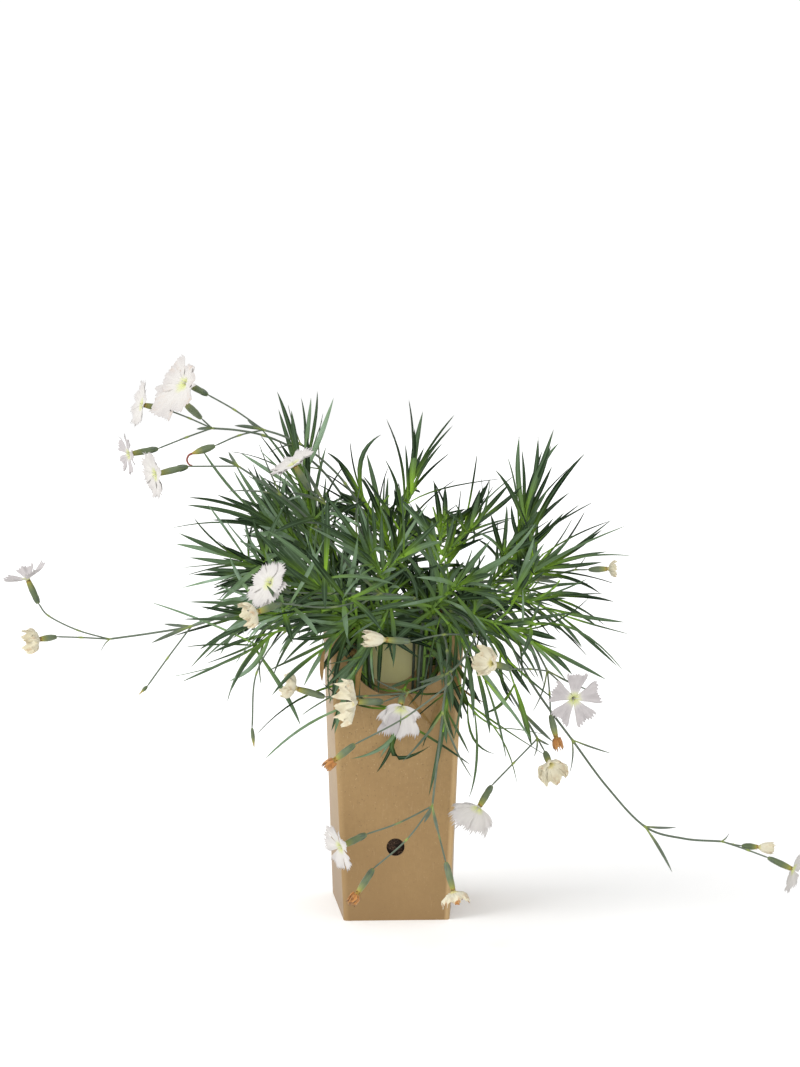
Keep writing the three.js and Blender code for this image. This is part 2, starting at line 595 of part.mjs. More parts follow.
// Soil fills the pot to a little below its lip, with a hole for each stem.
function soilSolid(stemFeet) {
  const low = CARTON.wall + GAP + POT.wall + GAP;
  const half = (z) => mix(POT.foot, POT.rim, z / POT.height) - POT.wall - 2 * GAP;
  const corner = POT.corner - POT.wall;
  const block = loft([
    sectionRing(square(half(low)), corner, low),
    sectionRing(square(half(SOIL.top - SOIL.swell)), corner, SOIL.top - SOIL.swell),
    sectionRing(square(half(SOIL.top) * 0.75), corner, SOIL.top),
  ]);
  return stemFeet.reduce((soil, { foot, top, radius }) => {
    const up = top.clone().sub(foot).normalize();
    const ends = [toward(foot, up, -GAP), toward(foot, up, STEM.sunk * 2)];
    return soil.subtract(loft(ends.map((end) => ringAt(end, up, BACK, radius + STEM.hole, STEM.holeSides))));
  }, block);
}

function labelSolid() {
  const ends = [0, LABEL.thick].map((y) => new THREE.Vector3(0, -y, 0));
  return loft(ends.map((end) => ringAt(end, BACK.clone().negate(), UP, LABEL.radius, LABEL.sides)));
}

// ---- Leaves ----

// A leaf bends from its first direction to its last one along a parabola.
function leafPoint({ base, start, end, length }, t) {
  return toward(toward(base, start, length * (t - (t * t) / 2)), end, (length * t * t) / 2);
}

function leafTangent({ start, end }, t) {
  return start.clone().multiplyScalar(1 - t).addScaledVector(end, t).normalize();
}

// The keel and the two edges at a station: flat on the face towards the stem, with a keel under it.
function bladeSection(leaf, station) {
  const t = LEAF.stations[station];
  const centre = leafPoint(leaf, t);
  const [side, under] = squareTo(leafTangent(leaf, t), leaf.side);
  const half = (leaf.width / 2) * LEAF.profile[station];
  const keel = Math.max(LEAF.thinnest, 2 * half * LEAF.keel);
  return [toward(centre, under, keel), toward(centre, side, -half), toward(centre, side, half)];
}

// A leaf on a face of a joint: turned aside a little, tilted away from the stem at the base and at the tip.
function leafAt(stem, at, face, aside, tilt, tipTilt, length, width, droop) {
  const { tangent, first, second } = stem.frames[at];
  const azimuth = (face * Math.PI) / 2 + aside;
  const between = (a, b, angle) => toward(a.clone().multiplyScalar(Math.cos(angle)), b, Math.sin(angle));
  const away = between(first, second, azimuth);
  const start = between(tangent, away, tilt);
  const end = between(tangent, away, tipTilt).addScaledVector(UP, -droop).normalize();
  const base = toward(stem.line[at], away, stem.radii[at] * 0.7);
  const side = away.clone().cross(tangent).normalize();
  return { at, face, base, start, end, side, length, width };
}

// Draws a leaf until it has room among what stands already, then books its place.
function placeLeaf(owner, seed, draw) {
  for (let attempt = 0; attempt < LEAF.tries; attempt++) {
    const leaf = draw(stream(seed * LEAF.tries + attempt), attempt / LEAF.tries);
    const line = LEAF.stations.map((t) => leafPoint(leaf, t));
    const radii = LEAF.profile.map((share) => (leaf.width / 2) * share);
    const outer = [leafPoint(leaf, LEAF.free), ...line.slice(1)];
    if (!lineClearOfCarton(line, radii) || !hasRoom(owner, false, line, radii, ROOM.leaf)) continue;
    if (!hasRoom(owner, true, outer, radii, ROOM.sibling)) continue;
    addRods(owner, line, radii);
    return [leaf];
  }
  return [];
}

// ---- Stems ----

// A stem stands in the soil and rises straight to a little above the rim.
function rootLine(rim) {
  const soil = new THREE.Vector3(rim[0] * STEM.lean, rim[1] * STEM.lean, SOIL.top);
  const top = new THREE.Vector3(rim[0], rim[1], CARTON.height + STEM.aboveRim);
  const foot = toward(soil, soil.clone().sub(top).normalize(), STEM.sunk);
  return [foot, top];
}

// A line that keeps its fixed points and clears what stands already, with its radii and frames.
function laid(owner, line, from, to, turn, firstFree, lastFree = line.length - 1) {
  const radii = evenRadii(line, from, to);
  bendClear(owner, line, radii, firstFree, lastFree);
  addRods(owner, line, radii);
  return { line, radii, frames: framesOf(line, radians(turn)) };
}

// A leafy stem: its trunk, then each shoot from the fork, with a point at each of its pairs of leaves.
function leafyLines(stem) {
  const [foot, top] = rootLine(stem.rim);
  const trunk = laid(stem.name, [foot, top, vec(stem.fork)], LEAFY.trunk, LEAFY.fork, 0, 2);
  const fork = trunk.line[2];
  const rise = fork.clone().sub(top).normalize();
  const shoots = stem.shoots.map(({ tip, pairs, turn }) => {
    const middle = toward(fork.clone().lerp(vec(tip), 0.5), rise, SHOOT.bow * fork.distanceTo(vec(tip)));
    const shares = Array.from({ length: pairs }, (_, k) => mix(SHOOT.firstPair, 1, k / (pairs - 1)));
    const line = [0, ...shares].map((share) => onCurve([fork, middle, vec(tip)], share));
    return laid(stem.name, line, LEAFY.fork, LEAFY.tip, turn, 1);
  });
  return { trunk, shoots };
}

// Leaves in pairs, each pair square to the one below. The upper ones stand closer to the shoot.
function shootLeaves(owner, seed, shoot, { pairs, length, droop }) {
  return Array.from({ length: pairs * 2 }, (_, i) => {
    const pair = Math.floor(i / 2);
    const share = pair / (pairs - 1);
    const draw = (random, effort) => {
      const aside = (random() - 0.5) * mix(0.5, 1, effort);
      const tilt = radians(mix(SHOOT.lowTilt, SHOOT.highTilt, share)) * mix(0.8, 1.3, random());
      const tipTilt = tilt + radians(mix(SHOOT.lowCurl, SHOOT.highCurl, share)) * mix(0.2, 1.2, random());
      const size = length * mix(0.8, 1.05, random()) * mix(1, 0.65, effort);
      const width = LEAF.width * mix(0.85, 1.15, random());
      const sag = (droop + 0.05) * mix(0.5, 1.5, random());
      return leafAt(shoot, pair + 1, (pair % 2) + 2 * (i % 2), aside, tilt, tipTilt, size, width, sag);
    };
    return placeLeaf(owner, seed + i, draw);
  }).flat();
}

// A flower stem: its main line, whose joints are the points of its route, then each branch up to its head.
function floweringLines(stem) {
  const [foot, top] = rootLine(stem.rim);
  const route = [top, ...stem.route.map(vec)];
  const count = ROUTE_STEPS * stem.route.length;
  const curve = Array.from({ length: count + 1 }, (_, i) => onCurve(route, i / count));
  const main = laid(stem.name, [foot, ...curve], FLOWERING.foot, FLOWERING.top, 0, 2);
  const joints = stem.route.map((_, k) => 1 + ROUTE_STEPS * (k + 1));
  const branches = stem.branches.map(({ from, via, head }) => {
    const line = [main.line[joints[from]], ...via.map(vec), vec(head[0])];
    return laid(stem.name, line, FLOWERING.branch, FLOWERING.branch, 0, 1, line.length - 2).line;
  });
  return { main, joints, branches };
}

// Small leaves in a pair at each joint that bears them.
function jointLeaves(owner, seed, main, joints, pairs) {
  return pairs.flatMap(([point, length, face], k) =>
    [0, 1].flatMap((half) => {
      const draw = (random, effort) => {
        const aside = (random() - 0.5) * mix(0.5, 1.2, effort);
        const tilt = radians(mix(22, 40, random()));
        const tipTilt = tilt + radians(mix(5, 30, random()));
        const size = length * mix(0.85, 1.1, random()) * mix(1, 0.6, effort);
        const width = LEAF.width * mix(0.55, 0.8, Math.min(length / 45, 1));
        const sag = 0.15 * random();
        return leafAt(main, joints[point], face + 2 * half, aside, tilt, tipTilt, size, width, sag);
      };
      return placeLeaf(owner, seed + k * 2 + half, draw);
    }),
  );
}

// ---- Heads ----

// A branch and the calyx at its end, a tube that holds the petals. On a bud it closes to a point.
function branchSolid(line, [base, direction, kind, length]) {
  const opening = vec(direction).normalize();
  const radii = line.map(() => FLOWERING.branch);
  const points = line.slice(0, -1);
  radii.pop();
  CALYX.along.forEach((share, i) => {
    points.push(toward(vec(base), opening, share * length));
    radii.push(CALYX.radii[i] * (kind === "tip" ? 0.5 : 1));
  });
  if (!(kind in PETALS)) {
    points.push(toward(vec(base), opening, length + BUD_TIP));
    radii.push(0);
  }
  return tube(points, radii);
}

// Petals in one fringed funnel, which narrows to a point at the calyx.
function bloomSolid([base, direction, kind, length, size = 1], turn) {
  const opening = vec(direction).normalize();
  const [first, second] = squareTo(opening, Math.abs(opening.y) > 0.9 ? UP : BACK);
  const { rise, rimWave, outline } = PETALS[kind];
  const radius = PETALS[kind].radius * size;
  const mouth = toward(vec(base), opening, length + GAP);
  const middle = toward(mouth, opening, BLOOM.neck);
  const petal = (2 * Math.PI) / BLOOM.petals;
  const rim = [];
  for (let k = 0; k < BLOOM.petals; k++) {
    outline.forEach(([side, out], i) => {
      const angle = turn + petal * (k + side * 0.5);
      const reach = radius * out;
      const lift = radius * (rise * out * out + rimWave * Math.sin(2.3 * k + 1.9 * i + turn));
      const point = toward(toward(middle, first, reach * Math.cos(angle)), second, reach * Math.sin(angle));
      rim.push(point.addScaledVector(opening, lift));
    });
  }
  const lower = rim.map((p) => toward(p, opening, -BLOOM.thick));
  return loft([[mouth], lower, rim, [middle]]);
}

// What a head takes up: its calyx, and spokes out to the rim of its petals.
function bookHead(owner, [base, direction, kind, length, size = 1]) {
  const opening = vec(direction).normalize();
  const [start, mouth] = [vec(base), toward(vec(base), opening, length)];
  const calyxRadius = Math.max(...CALYX.radii);
  addRods(owner, [start, mouth], [calyxRadius, calyxRadius]);
  if (!(kind in PETALS)) return;
  const { rise, rimWave } = PETALS[kind];
  const radius = PETALS[kind].radius * size;
  const [first, second] = squareTo(opening, Math.abs(opening.y) > 0.9 ? UP : BACK);
  const middle = toward(mouth, opening, BLOOM.neck);
  const spokes = 12;
  for (let k = 0; k < spokes; k++) {
    const angle = (k / spokes) * 2 * Math.PI;
    const rim = toward(middle, first, radius * Math.cos(angle));
    rim.addScaledVector(second, radius * Math.sin(angle)).addScaledVector(opening, radius * rise);
    addRods(owner, [middle, rim], [1 + radius * rimWave, 1 + radius * rimWave]);
  }
}

// ---- The object ----

// The largest closed shell of a solid: a sealed bubble or a loose scrap is left out.
function largestShell(solid) {
  const { vertProperties, triVerts, numProp } = solid.getMesh();
  const leader = Array.from({ length: vertProperties.length / numProp }, (_, i) => i);
  const find = (i) => {
    while (leader[i] !== i) i = leader[i] = leader[leader[i]];
    return i;
  };
  for (let i = 0; i < triVerts.length; i += 3) {
    leader[find(triVerts[i + 1])] = find(triVerts[i]);
    leader[find(triVerts[i + 2])] = find(triVerts[i]);
  }
  const counts = new Map();
  for (const i of triVerts) counts.set(find(i), (counts.get(find(i)) || 0) + 1);
  const [best] = [...counts.entries()].sort((a, b) => b[1] - a[1])[0];
  return { vertProperties, triVerts: triVerts.filter((_, k) => find(triVerts[k - (k % 3)]) === best) };
}

const plant = new THREE.Group();

function addMesh(name, solid, look, parent = plant) {
  const { vertProperties, triVerts } = largestShell(solid);
  const geometry = new THREE.BufferGeometry();
  geometry.setAttribute("position", new THREE.BufferAttribute(new Float32Array(vertProperties), 3));
  geometry.setIndex(new THREE.BufferAttribute(new Uint32Array(triVerts), 1));
  geometry.computeVertexNormals();
  const mesh = new THREE.Mesh(geometry, new THREE.MeshStandardMaterial({ ...LOOKS[look], metalness: 0 }));
  mesh.name = name;
  parent.add(mesh);
  return mesh;
}

// Heads and stems take their places first, and then the leaves fill what is left.
FLOWER_STEMS.forEach((stem) => stem.branches.forEach(({ head }) => bookHead(stem.name, head)));
const flowering = FLOWER_STEMS.map((stem) => ({ stem, ...floweringLines(stem) }));
const leafy = LEAFY_STEMS.map((stem) => ({ stem, ...leafyLines(stem) }));

// The leaves of each stem, and of each shoot on it, are drawn from seeds of their own.
const SEED_STEP = 100;
const SHOOT_STEP = 20;

addMesh("carton", cartonSolid(), "carton");

const pot = new THREE.Group();
pot.position.z = CARTON.wall + GAP;
plant.add(pot);
addMesh("pot", potSolid(), "pot", pot);

const label = addMesh("label", labelSolid(), "label");
const lean = Math.atan2(CARTON.rim.depth - CARTON.foot.depth, CARTON.height);
label.position.set(LABEL.x, sectionAt(LABEL.height, CARTON.wall).depth - GAP, LABEL.height);
label.rotation.x = -lean;

const feet = [
  ...flowering.map(({ main }) => ({ foot: main.line[0], top: main.line[1], radius: FLOWERING.foot })),
  ...leafy.map(({ trunk }) => ({ foot: trunk.line[0], top: trunk.line[1], radius: LEAFY.trunk })),
];
addMesh("soil", soilSolid(feet), "soil");

flowering.forEach(({ stem, main, joints, branches }, s) => {
  const leaves = jointLeaves(stem.name, (s + 1) * SEED_STEP, main, joints, stem.leaves);
  const stalks = branches.map((line, b) => branchSolid(line, stem.branches[b].head));
  const mainStem = leafyTube(main.line, main.radii, main.frames, leaves);
  addMesh(`flower_stem_${stem.name}`, joined([mainStem, ...stalks]), "flowering");
  const blooms = stem.branches.filter(({ head }) => head[2] in PETALS);
  blooms.forEach(({ head }, b) => {
    const number = blooms.length > 1 ? `_${b + 1}` : "";
    addMesh(`bloom_${stem.name}${number}`, bloomSolid(head, s + 0.7 * b), PETALS[head[2]].look);
  });
});

leafy.forEach(({ stem, trunk, shoots }, s) => {
  const pieces = shoots.map((shoot, k) => {
    const seed = (s + 1 + FLOWER_STEMS.length) * SEED_STEP + k * SHOOT_STEP;
    const leaves = shootLeaves(stem.name, seed, shoot, stem.shoots[k]);
    return leafyTube(shoot.line, shoot.radii, shoot.frames, leaves);
  });
  addMesh(`leafy_stem_${stem.name}`, joined([tube(trunk.line, trunk.radii), ...pieces]), "leafy");
});

export default plant;
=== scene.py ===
"""The looks of a garden pink (dianthus) in a nursery pot, which stands in a tall kraft carton.

Stems, leaves and heads are laid out by the rules and seeds that shaped the part's solids, so each finer piece
lies where its solid does. Side shoots and more leaves then fill the room between them, up to the crown's
outline as the camera sees it. Lengths are in millimetres until a mesh is made, +Z is up, and the carton's
front faces -Y.
"""
import math
from collections import namedtuple

import bpy
import numpy as np
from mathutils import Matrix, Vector, noise


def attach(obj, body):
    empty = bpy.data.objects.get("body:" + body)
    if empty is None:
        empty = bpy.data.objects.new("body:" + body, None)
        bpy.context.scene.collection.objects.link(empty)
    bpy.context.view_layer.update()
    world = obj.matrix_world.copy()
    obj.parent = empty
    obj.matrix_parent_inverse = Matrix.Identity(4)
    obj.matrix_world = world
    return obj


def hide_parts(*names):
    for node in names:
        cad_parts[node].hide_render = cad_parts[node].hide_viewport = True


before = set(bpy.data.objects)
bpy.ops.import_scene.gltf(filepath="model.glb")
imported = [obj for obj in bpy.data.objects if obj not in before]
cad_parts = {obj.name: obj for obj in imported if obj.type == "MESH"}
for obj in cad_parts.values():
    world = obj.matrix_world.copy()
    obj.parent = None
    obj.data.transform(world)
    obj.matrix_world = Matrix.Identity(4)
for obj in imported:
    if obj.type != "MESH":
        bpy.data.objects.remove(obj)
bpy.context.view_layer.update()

MM = 0.001
CAMERA_PLACE = (-0.0616, -1.6437, 0.4535)  # in metres; the crown is filled as it is seen from here

# ---- Driving dimensions, as in the part ----

GAP = 0.3  # between pieces that lie on each other
CARTON_HEIGHT, CARTON_WALL, CARTON_CORNER = 230, 2, 3
CARTON_FOOT = (42.5, 50.5, 45)  # half widths of the front and back walls, half depth
CARTON_RIM = (53, 58, 51)
SCOOP_HALF, SCOOP_DEEP = 42, 48
VENT_X, VENT_HEIGHT, VENT_RADIUS = -1, 60, 7.2
POT_HEIGHT, POT_WALL, POT_CORNER, POT_FOOT, POT_RIM = 96, 1.2, 6, 35, 41
SOIL_TOP = 94
LABEL_RADIUS, LABEL_THICK, LABEL_HEIGHT, LABEL_X = 24.5, 0.5, 201, -1
STEM_SUNK, STEM_LEAN, STEM_ABOVE_RIM = 12, 0.7, 4
TRUNK_RADIUS, FORK_RADIUS, SHOOT_TIP_RADIUS = 1.3, 1.15, 0.7
FLOWERING_FOOT, FLOWERING_TOP, BRANCH_RADIUS = 1.15, 0.85, 0.65
ROUTE_STEPS = 2  # points of a flower stem's line for each of its route
FIRST_PAIR, SHOOT_BOW = 0.28, 0.1  # shares of a shoot's length
LOW_TILT, HIGH_TILT, LOW_CURL, HIGH_CURL = 31, 12, 26, 14  # degrees, of a shoot's lowest and highest leaves
LEAF_STATIONS, LEAF_PROFILE, LEAF_WIDTH = (0, 0.55, 1), (0.5, 1, 0), 4.6
LEAF_FREE, LEAF_TRIES = 0.25, 16  # a leaf clears its own stem from this share of its length on
ROOM_LEAF, ROOM_SIBLING, ROOM_STEM, ROOM_WALL, ROOM_PASSES = 0.5, 0.2, 0.7, 0.8, 120
CALYX_RADIUS, BLOOM_NECK, PETAL_COUNT = 2.5, 3, 5
SEED_STEP, SHOOT_STEP = 100, 20

# How each kind of bloom holds its petals: its radius, and how far its rim stands before its middle and
# waves, as shares of the radius.
Kind = namedtuple("Kind", "look radius rise wave")
PETALS = {
    "fresh": Kind("fresh", 20, 0.16, 0.05),
    "funnel": Kind("fresh", 19, 0.43, 0.06),
    "fading": Kind("fading", 12.5, 0.45, 0.16),
    "folded": Kind("fading", 8, 1.7, 0.15),
    "dried": Kind("dried", 6, 1.0, 0.3),
}

# ---- Where the plant grows, as in the part ----

LeafyStem = namedtuple("LeafyStem", "name rim fork shoots")
Shoot = namedtuple("Shoot", "tip pairs length turn droop")
FlowerStem = namedtuple("FlowerStem", "name rim route pairs heads")
Head = namedtuple("Head", "start via base direction kind length size", defaults=[1])

# Each rises from the soil through its place at the carton's rim to its fork.
LEAFY_STEMS = [
    LeafyStem("left_crest", (-22, 3), (-50, -6, 274), [
        Shoot((-74, -12, 352), 5, 74, 20, 0),
        Shoot((-94, -34, 316), 4, 72, 65, 0),
    ]),
    LeafyStem("left_upper", (-26, 11), (-46, 12, 266), [
        Shoot((-112, 6, 322), 4, 74, 40, 0),
        Shoot((-72, 46, 330), 4, 72, 10, 0),
    ]),
    LeafyStem("left_middle", (-40, -4), (-62, -10, 258), [
        Shoot((-122, -24, 288), 5, 62, 30, 0),
        Shoot((-116, 22, 270), 4, 60, 75, 0.1),
    ]),
    LeafyStem("left_lower", (-44, 15), (-66, 24, 250), [
        Shoot((-122, 36, 236), 4, 66, 50, 0.3),
        Shoot((-108, 72, 262), 4, 66, 15, 0.2),
    ]),
    LeafyStem("left_front", (-41, -26), (-60, -52, 250), [
        Shoot((-106, -78, 248), 4, 66, 25, 0.1),
        Shoot((-112, -56, 222), 3, 60, 60, 0.35),
    ]),
    LeafyStem("front_left", (-27, -39), (-32, -66, 246), [
        Shoot((-62, -98, 222), 3, 60, 35, 0.3),
        Shoot((-64, -92, 276), 4, 68, 80, 0),
    ]),
    LeafyStem("front_middle", (-27, -30), (-6, -60, 256), [
        Shoot((-24, -100, 300), 5, 64, 0, 0),
        Shoot((-34, -106, 212), 3, 58, 45, 0.4),
    ]),
    LeafyStem("front_right", (24, -38), (30, -68, 250), [
        Shoot((46, -102, 276), 4, 66, 70, 0),
        Shoot((66, -98, 202), 4, 66, 30, 0.5),
    ]),
    LeafyStem("centre_crest", (23, 14), (4, 4, 284), [
        Shoot((14, -4, 352), 5, 68, 55, 0),
        Shoot((-24, 22, 330), 4, 60, 5, 0),
    ]),
    LeafyStem("centre_right", (23, 2), (30, -4, 272), [
        Shoot((62, -4, 312), 5, 54, 15, 0),
        Shoot((44, 50, 308), 4, 60, 60, 0),
    ]),
    LeafyStem("right_crest", (32, 22), (78, 19, 261), [
        Shoot((104, 4, 318), 5, 78, 0, 0),
        Shoot((86, -30, 292), 4, 68, 40, 0),
    ]),
    LeafyStem("right_middle", (44, -12), (72, -18, 256), [
        Shoot((128, -14, 284), 5, 64, 70, 0),
        Shoot((128, -44, 246), 4, 64, 20, 0.1),
    ]),
    LeafyStem("right_lower", (44, 16), (70, 32, 250), [
        Shoot((130, 38, 250), 4, 68, 35, 0.2),
        Shoot((106, 76, 276), 4, 66, 80, 0),
    ]),
    LeafyStem("right_front", (39, -34), (60, -56, 246), [
        Shoot((106, -76, 228), 4, 66, 50, 0.2),
        Shoot((90, -80, 196), 3, 62, 5, 0.4),
    ]),
    LeafyStem("back_left", (-23, 36), (-34, 60, 256), [
        Shoot((-62, 98, 298), 4, 68, 45, 0),
        Shoot((-86, 104, 238), 4, 66, 10, 0.4),
    ]),
    LeafyStem("back_middle", (-18, 44), (-2, 60, 262), [
        Shoot((-8, 86, 312), 5, 60, 25, 0),
        Shoot((8, 122, 280), 4, 66, 70, 0.1),
        Shoot((-24, 120, 224), 4, 64, 40, 0.5),
    ]),
    LeafyStem("back_right", (24, 38), (38, 60, 256), [
        Shoot((64, 92, 306), 4, 68, 0, 0),
        Shoot((88, 106, 248), 4, 66, 50, 0.3),
        Shoot((44, 126, 222), 4, 64, 20, 0.5),
    ]),
]

# Each follows its route above the rim. Its pairs of leaves are given as (point of the route, length, face). A
# head's branch leaves the route at the point start and goes through via to the calyx's base.
FLOWER_STEMS = [
    FlowerStem("high_left", (-21, 16),
     [(-16, 4, 295), (-40, -8, 348), (-76, -14, 380), (-105, -10, 391)],
     [(3, 28, 0), (2, 30, 1)], [
        Head(3, [(-128, -10, 407)], (-149, -10, 419), (-0.74, -0.52, 0.42), "fresh", 21, 1.25),
        Head(3, [(-124, -18, 387)], (-143, -22, 379), (-0.9, -0.2, -0.3), "bud", 17),
    ]),
    FlowerStem("far_high_left", (-20, 26),
     [(-24, 26, 300), (-60, 30, 358), (-106, 28, 385), (-148, 27, 391)],
     [(3, 16, 0), (1, 42, 1)], [
        Head(3, [(-166, 28, 399)], (-184, 30, 406), (-0.93, -0.32, 0.2), "fresh", 19),
        Head(3, [], (-156, 22, 399), (-0.72, -0.1, 0.68), "bud", 20),
        Head(3, [(-168, 20, 384)], (-191, 17, 375), (-0.88, -0.44, -0.16), "fresh", 23, 0.9),
    ]),
    FlowerStem("left_arm", (-32, -13),
     [(-40, -26, 284), (-64, -36, 316), (-92, -44, 342), (-124, -44, 364)],
     [(3, 24, 0), (2, 44, 1)], [
        Head(3, [], (-163, -46, 364), (-0.89, -0.42, -0.2), "fresh", 25),
    ]),
    FlowerStem("upper_left", (-22, -8),
     [(-14, -30, 276), (-32, -46, 310), (-56, -56, 335)],
     [(2, 44, 0), (1, 50, 1)], [
        Head(2, [], (-68, -60, 346), (-0.5, -0.2, 0.84), "fresh", 22),
    ]),
    FlowerStem("front_left_pair", (23, -14),
     [(16, -46, 256), (12, -82, 264), (-15, -100, 270)],
     [(2, 46, 0)], [
        Head(2, [(-52, -100, 270)], (-83, -100, 271), (-0.68, -0.6, 0.4), "fresh", 20),
        Head(2, [(-50, -119, 262)], (-89, -128, 266), (-0.88, -0.42, -0.25), "fading", 19),
    ]),
    FlowerStem("far_left", (-30, -22),
     [(-50, -42, 258), (-100, -40, 256), (-163, -22, 235), (-230, -8, 223)],
     [(2, 36, 0), (3, 14, 1)], [
        Head(3, [(-256, -4, 230), (-279, 0, 241)], (-287, 0, 251), (-0.36, -0.16, 0.92), "funnel", 20),
        Head(3, [(-252, -12, 225)], (-271, -14, 226), (-0.82, -0.57, -0.05), "fading", 14),
        Head(2, [(-182, -26, 210)], (-198, -28, 188), (-0.7, -0.05, -0.7), "tip", 6),
        Head(0, [(-88, -66, 236), (-110, -66, 204)], (-114, -62, 160), (0.1, 0, -0.98), "tip", 12),
    ]),
    FlowerStem("front_hanging", (26, -25),
     [(30, -56, 246), (37, -92, 224), (32, -116, 180), (24, -122, 110)],
     [(3, 24, 0), (2, 62, 1)], [
        Head(3, [(-2, -126, 98)], (-26, -127, 90), (-0.85, -0.45, -0.3), "fresh", 21),
        Head(3, [(4, -130, 86)], (-21, -133, 65), (-0.55, -0.1, -0.83), "dried", 20),
        Head(3, [(29, -126, 88)], (34, -127, 68), (0.25, -0.1, -0.96), "fading", 21),
    ]),
    FlowerStem("front_across", (20, -44),
     [(42, -66, 252), (58, -92, 236), (38, -108, 210), (5, -117, 196)],
     [(3, 28, 0), (2, 44, 1)], [
        Head(3, [], (-13, -126, 191), (-0.93, -0.3, 0.05), "fading", 20, 1.25),
        Head(2, [(35, -143, 207), (2, -159, 185)], (-35, -148, 163), (-0.8, -0.1, -0.6), "dried", 17),
        Head(3, [], (1, -121, 195), (-0.1, -0.78, -0.6), "funnel", 10, 1.15),
        Head(1, [(34, -100, 238)], (8, -108, 234), (-0.97, -0.2, 0.1), "folded", 18),
        Head(3, [(-26, -106, 192)], (-57, -103, 191), (-0.93, -0.1, 0.3), "fading", 21),
    ]),
    FlowerStem("right_triple", (38, -5),
     [(68, -34, 252), (98, -62, 236), (116, -78, 206)],
     [(2, 36, 0), (1, 46, 1)], [
        Head(2, [(100, -100, 211)], (85, -112, 213), (-0.75, -0.58, 0.3), "fading", 19, 1.15),
        Head(2, [(126, -87, 197)], (130, -94, 190), (0.2, -0.95, -0.05), "fresh", 12, 1.15),
        Head(2, [(118, -76, 188)], (119, -75, 171), (0.22, -0.2, -0.95), "dried", 16),
    ]),
    FlowerStem("right_pair", (32, -15),
     [(54, -46, 246), (78, -62, 204), (96, -68, 174), (109, -74, 152)],
     [(3, 16, 0), (2, 42, 1)], [
        Head(3, [], (114, -80, 143), (0.2, -0.8, -0.55), "fading", 12, 1.2),
        Head(3, [(90, -76, 133)], (73, -78, 116), (-0.5, -0.55, -0.66), "funnel", 20, 1.05),
    ]),
    FlowerStem("far_right", (40, 5),
     [(74, -6, 246), (108, -24, 190), (142, -32, 142), (202, -27, 70), (266, -22, 56)],
     [(3, 46, 0), (2, 32, 1), (4, 14, 0)], [
        Head(4, [(287, -24, 49)], (303, -25, 43), (0.9, -0.1, -0.42), "fresh", 20),
        Head(4, [(276, -16, 52)], (284, -13, 50), (0.98, 0.06, -0.1), "folded", 12, 0.75),
    ]),
    FlowerStem("right_behind", (30, 9),
     [(66, 24, 262), (112, 24, 266), (150, 24, 274)],
     [(1, 38, 0), (2, 16, 1)], [
        Head(2, [], (161, 24, 274), (0.98, -0.1, 0.05), "fading", 14, 0.65),
    ]),
    FlowerStem("back_arching", (18, 31),
     [(16, 58, 258), (22, 96, 244), (14, 122, 206), (0, 132, 158)],
     [(3, 24, 0), (1, 44, 1), (2, 36, 0)], [
        Head(3, [(-12, 138, 146)], (-22, 146, 138), (-0.5, 0.75, -0.45), "fresh", 20),
        Head(3, [(4, 136, 142)], (10, 140, 128), (0.35, 0.3, -0.9), "bud", 18),
    ]),
]

# ---- Vectors, curves and seeded draws ----

UP = np.array([0.0, 0, 1])
BACK = np.array([0.0, 1, 0])


def vec(p):
    return np.array(p, float)


def mix(a, b, t):
    return a + (b - a) * t


def length_of(v):
    return math.sqrt(v @ v)


def unit(v):
    return v / length_of(v)


def stream(seed):
    """Mulberry32: numbers from 0 to 1 that depend on the seed alone."""
    mask = 0xFFFFFFFF
    state = seed & mask

    def draw():
        nonlocal state
        state = (state + 0x6D2B79F5) & mask
        t = ((state ^ (state >> 15)) * (state | 1)) & mask
        t ^= (t + (((t ^ (t >> 7)) * (t | 61)) & mask)) & mask
        return (t ^ (t >> 14)) / 4294967296

    return draw


def on_curve(points, share):
    """The point at a share of the uniform Catmull-Rom curve through the given points."""
    at = share * (len(points) - 1)
    i = min(int(at), len(points) - 2)
    t = at - i
    b, c = points[i], points[i + 1]
    a = points[i - 1] if i > 0 else 2 * b - c
    d = points[i + 2] if i + 2 < len(points) else 2 * c - b
    low = a * (-0.5 * t + t * t - 0.5 * t**3) + b * (1 - 2.5 * t * t + 1.5 * t**3)
    return low + c * (0.5 * t + 2 * t * t - 1.5 * t**3) + d * (-0.5 * t * t + 0.5 * t**3)


def square_to(tangent, wanted):
    """Two directions square to a tangent and to each other, the first as near to the wanted one as can be."""
    first = unit(wanted - tangent * (wanted @ tangent))
    return first, np.cross(tangent, first)


def sides_of(tangent):
    """Two directions square to a tangent and to each other, the first towards the back where it can be."""
    return square_to(tangent, UP if abs(tangent[1]) > 0.9 else BACK)


def turned(first, second, angle):
    """The direction at an angle from the first one towards the second."""
    return first * math.cos(angle) + second * math.sin(angle)


def frames_of(line, turn=0.0):
    """The tangent and two directions square to it at each point of a line, carried along without a twist."""
    frames = []
    first = None
    for i in range(len(line)):
        tangent = unit(line[min(i + 1, len(line) - 1)] - line[max(i - 1, 0)])
        if first is None:
            first = turned(*sides_of(tangent), turn)
        first, second = square_to(tangent, first)
        frames.append((tangent, first, second))
    return frames


def stretches(line, radii):
    """The ends and the larger radius of each stretch of a line."""
    return zip(line, line[1:], map(max, radii, radii[1:]))


# ---- Room: what stands already, as rods, so that no piece crosses another ----


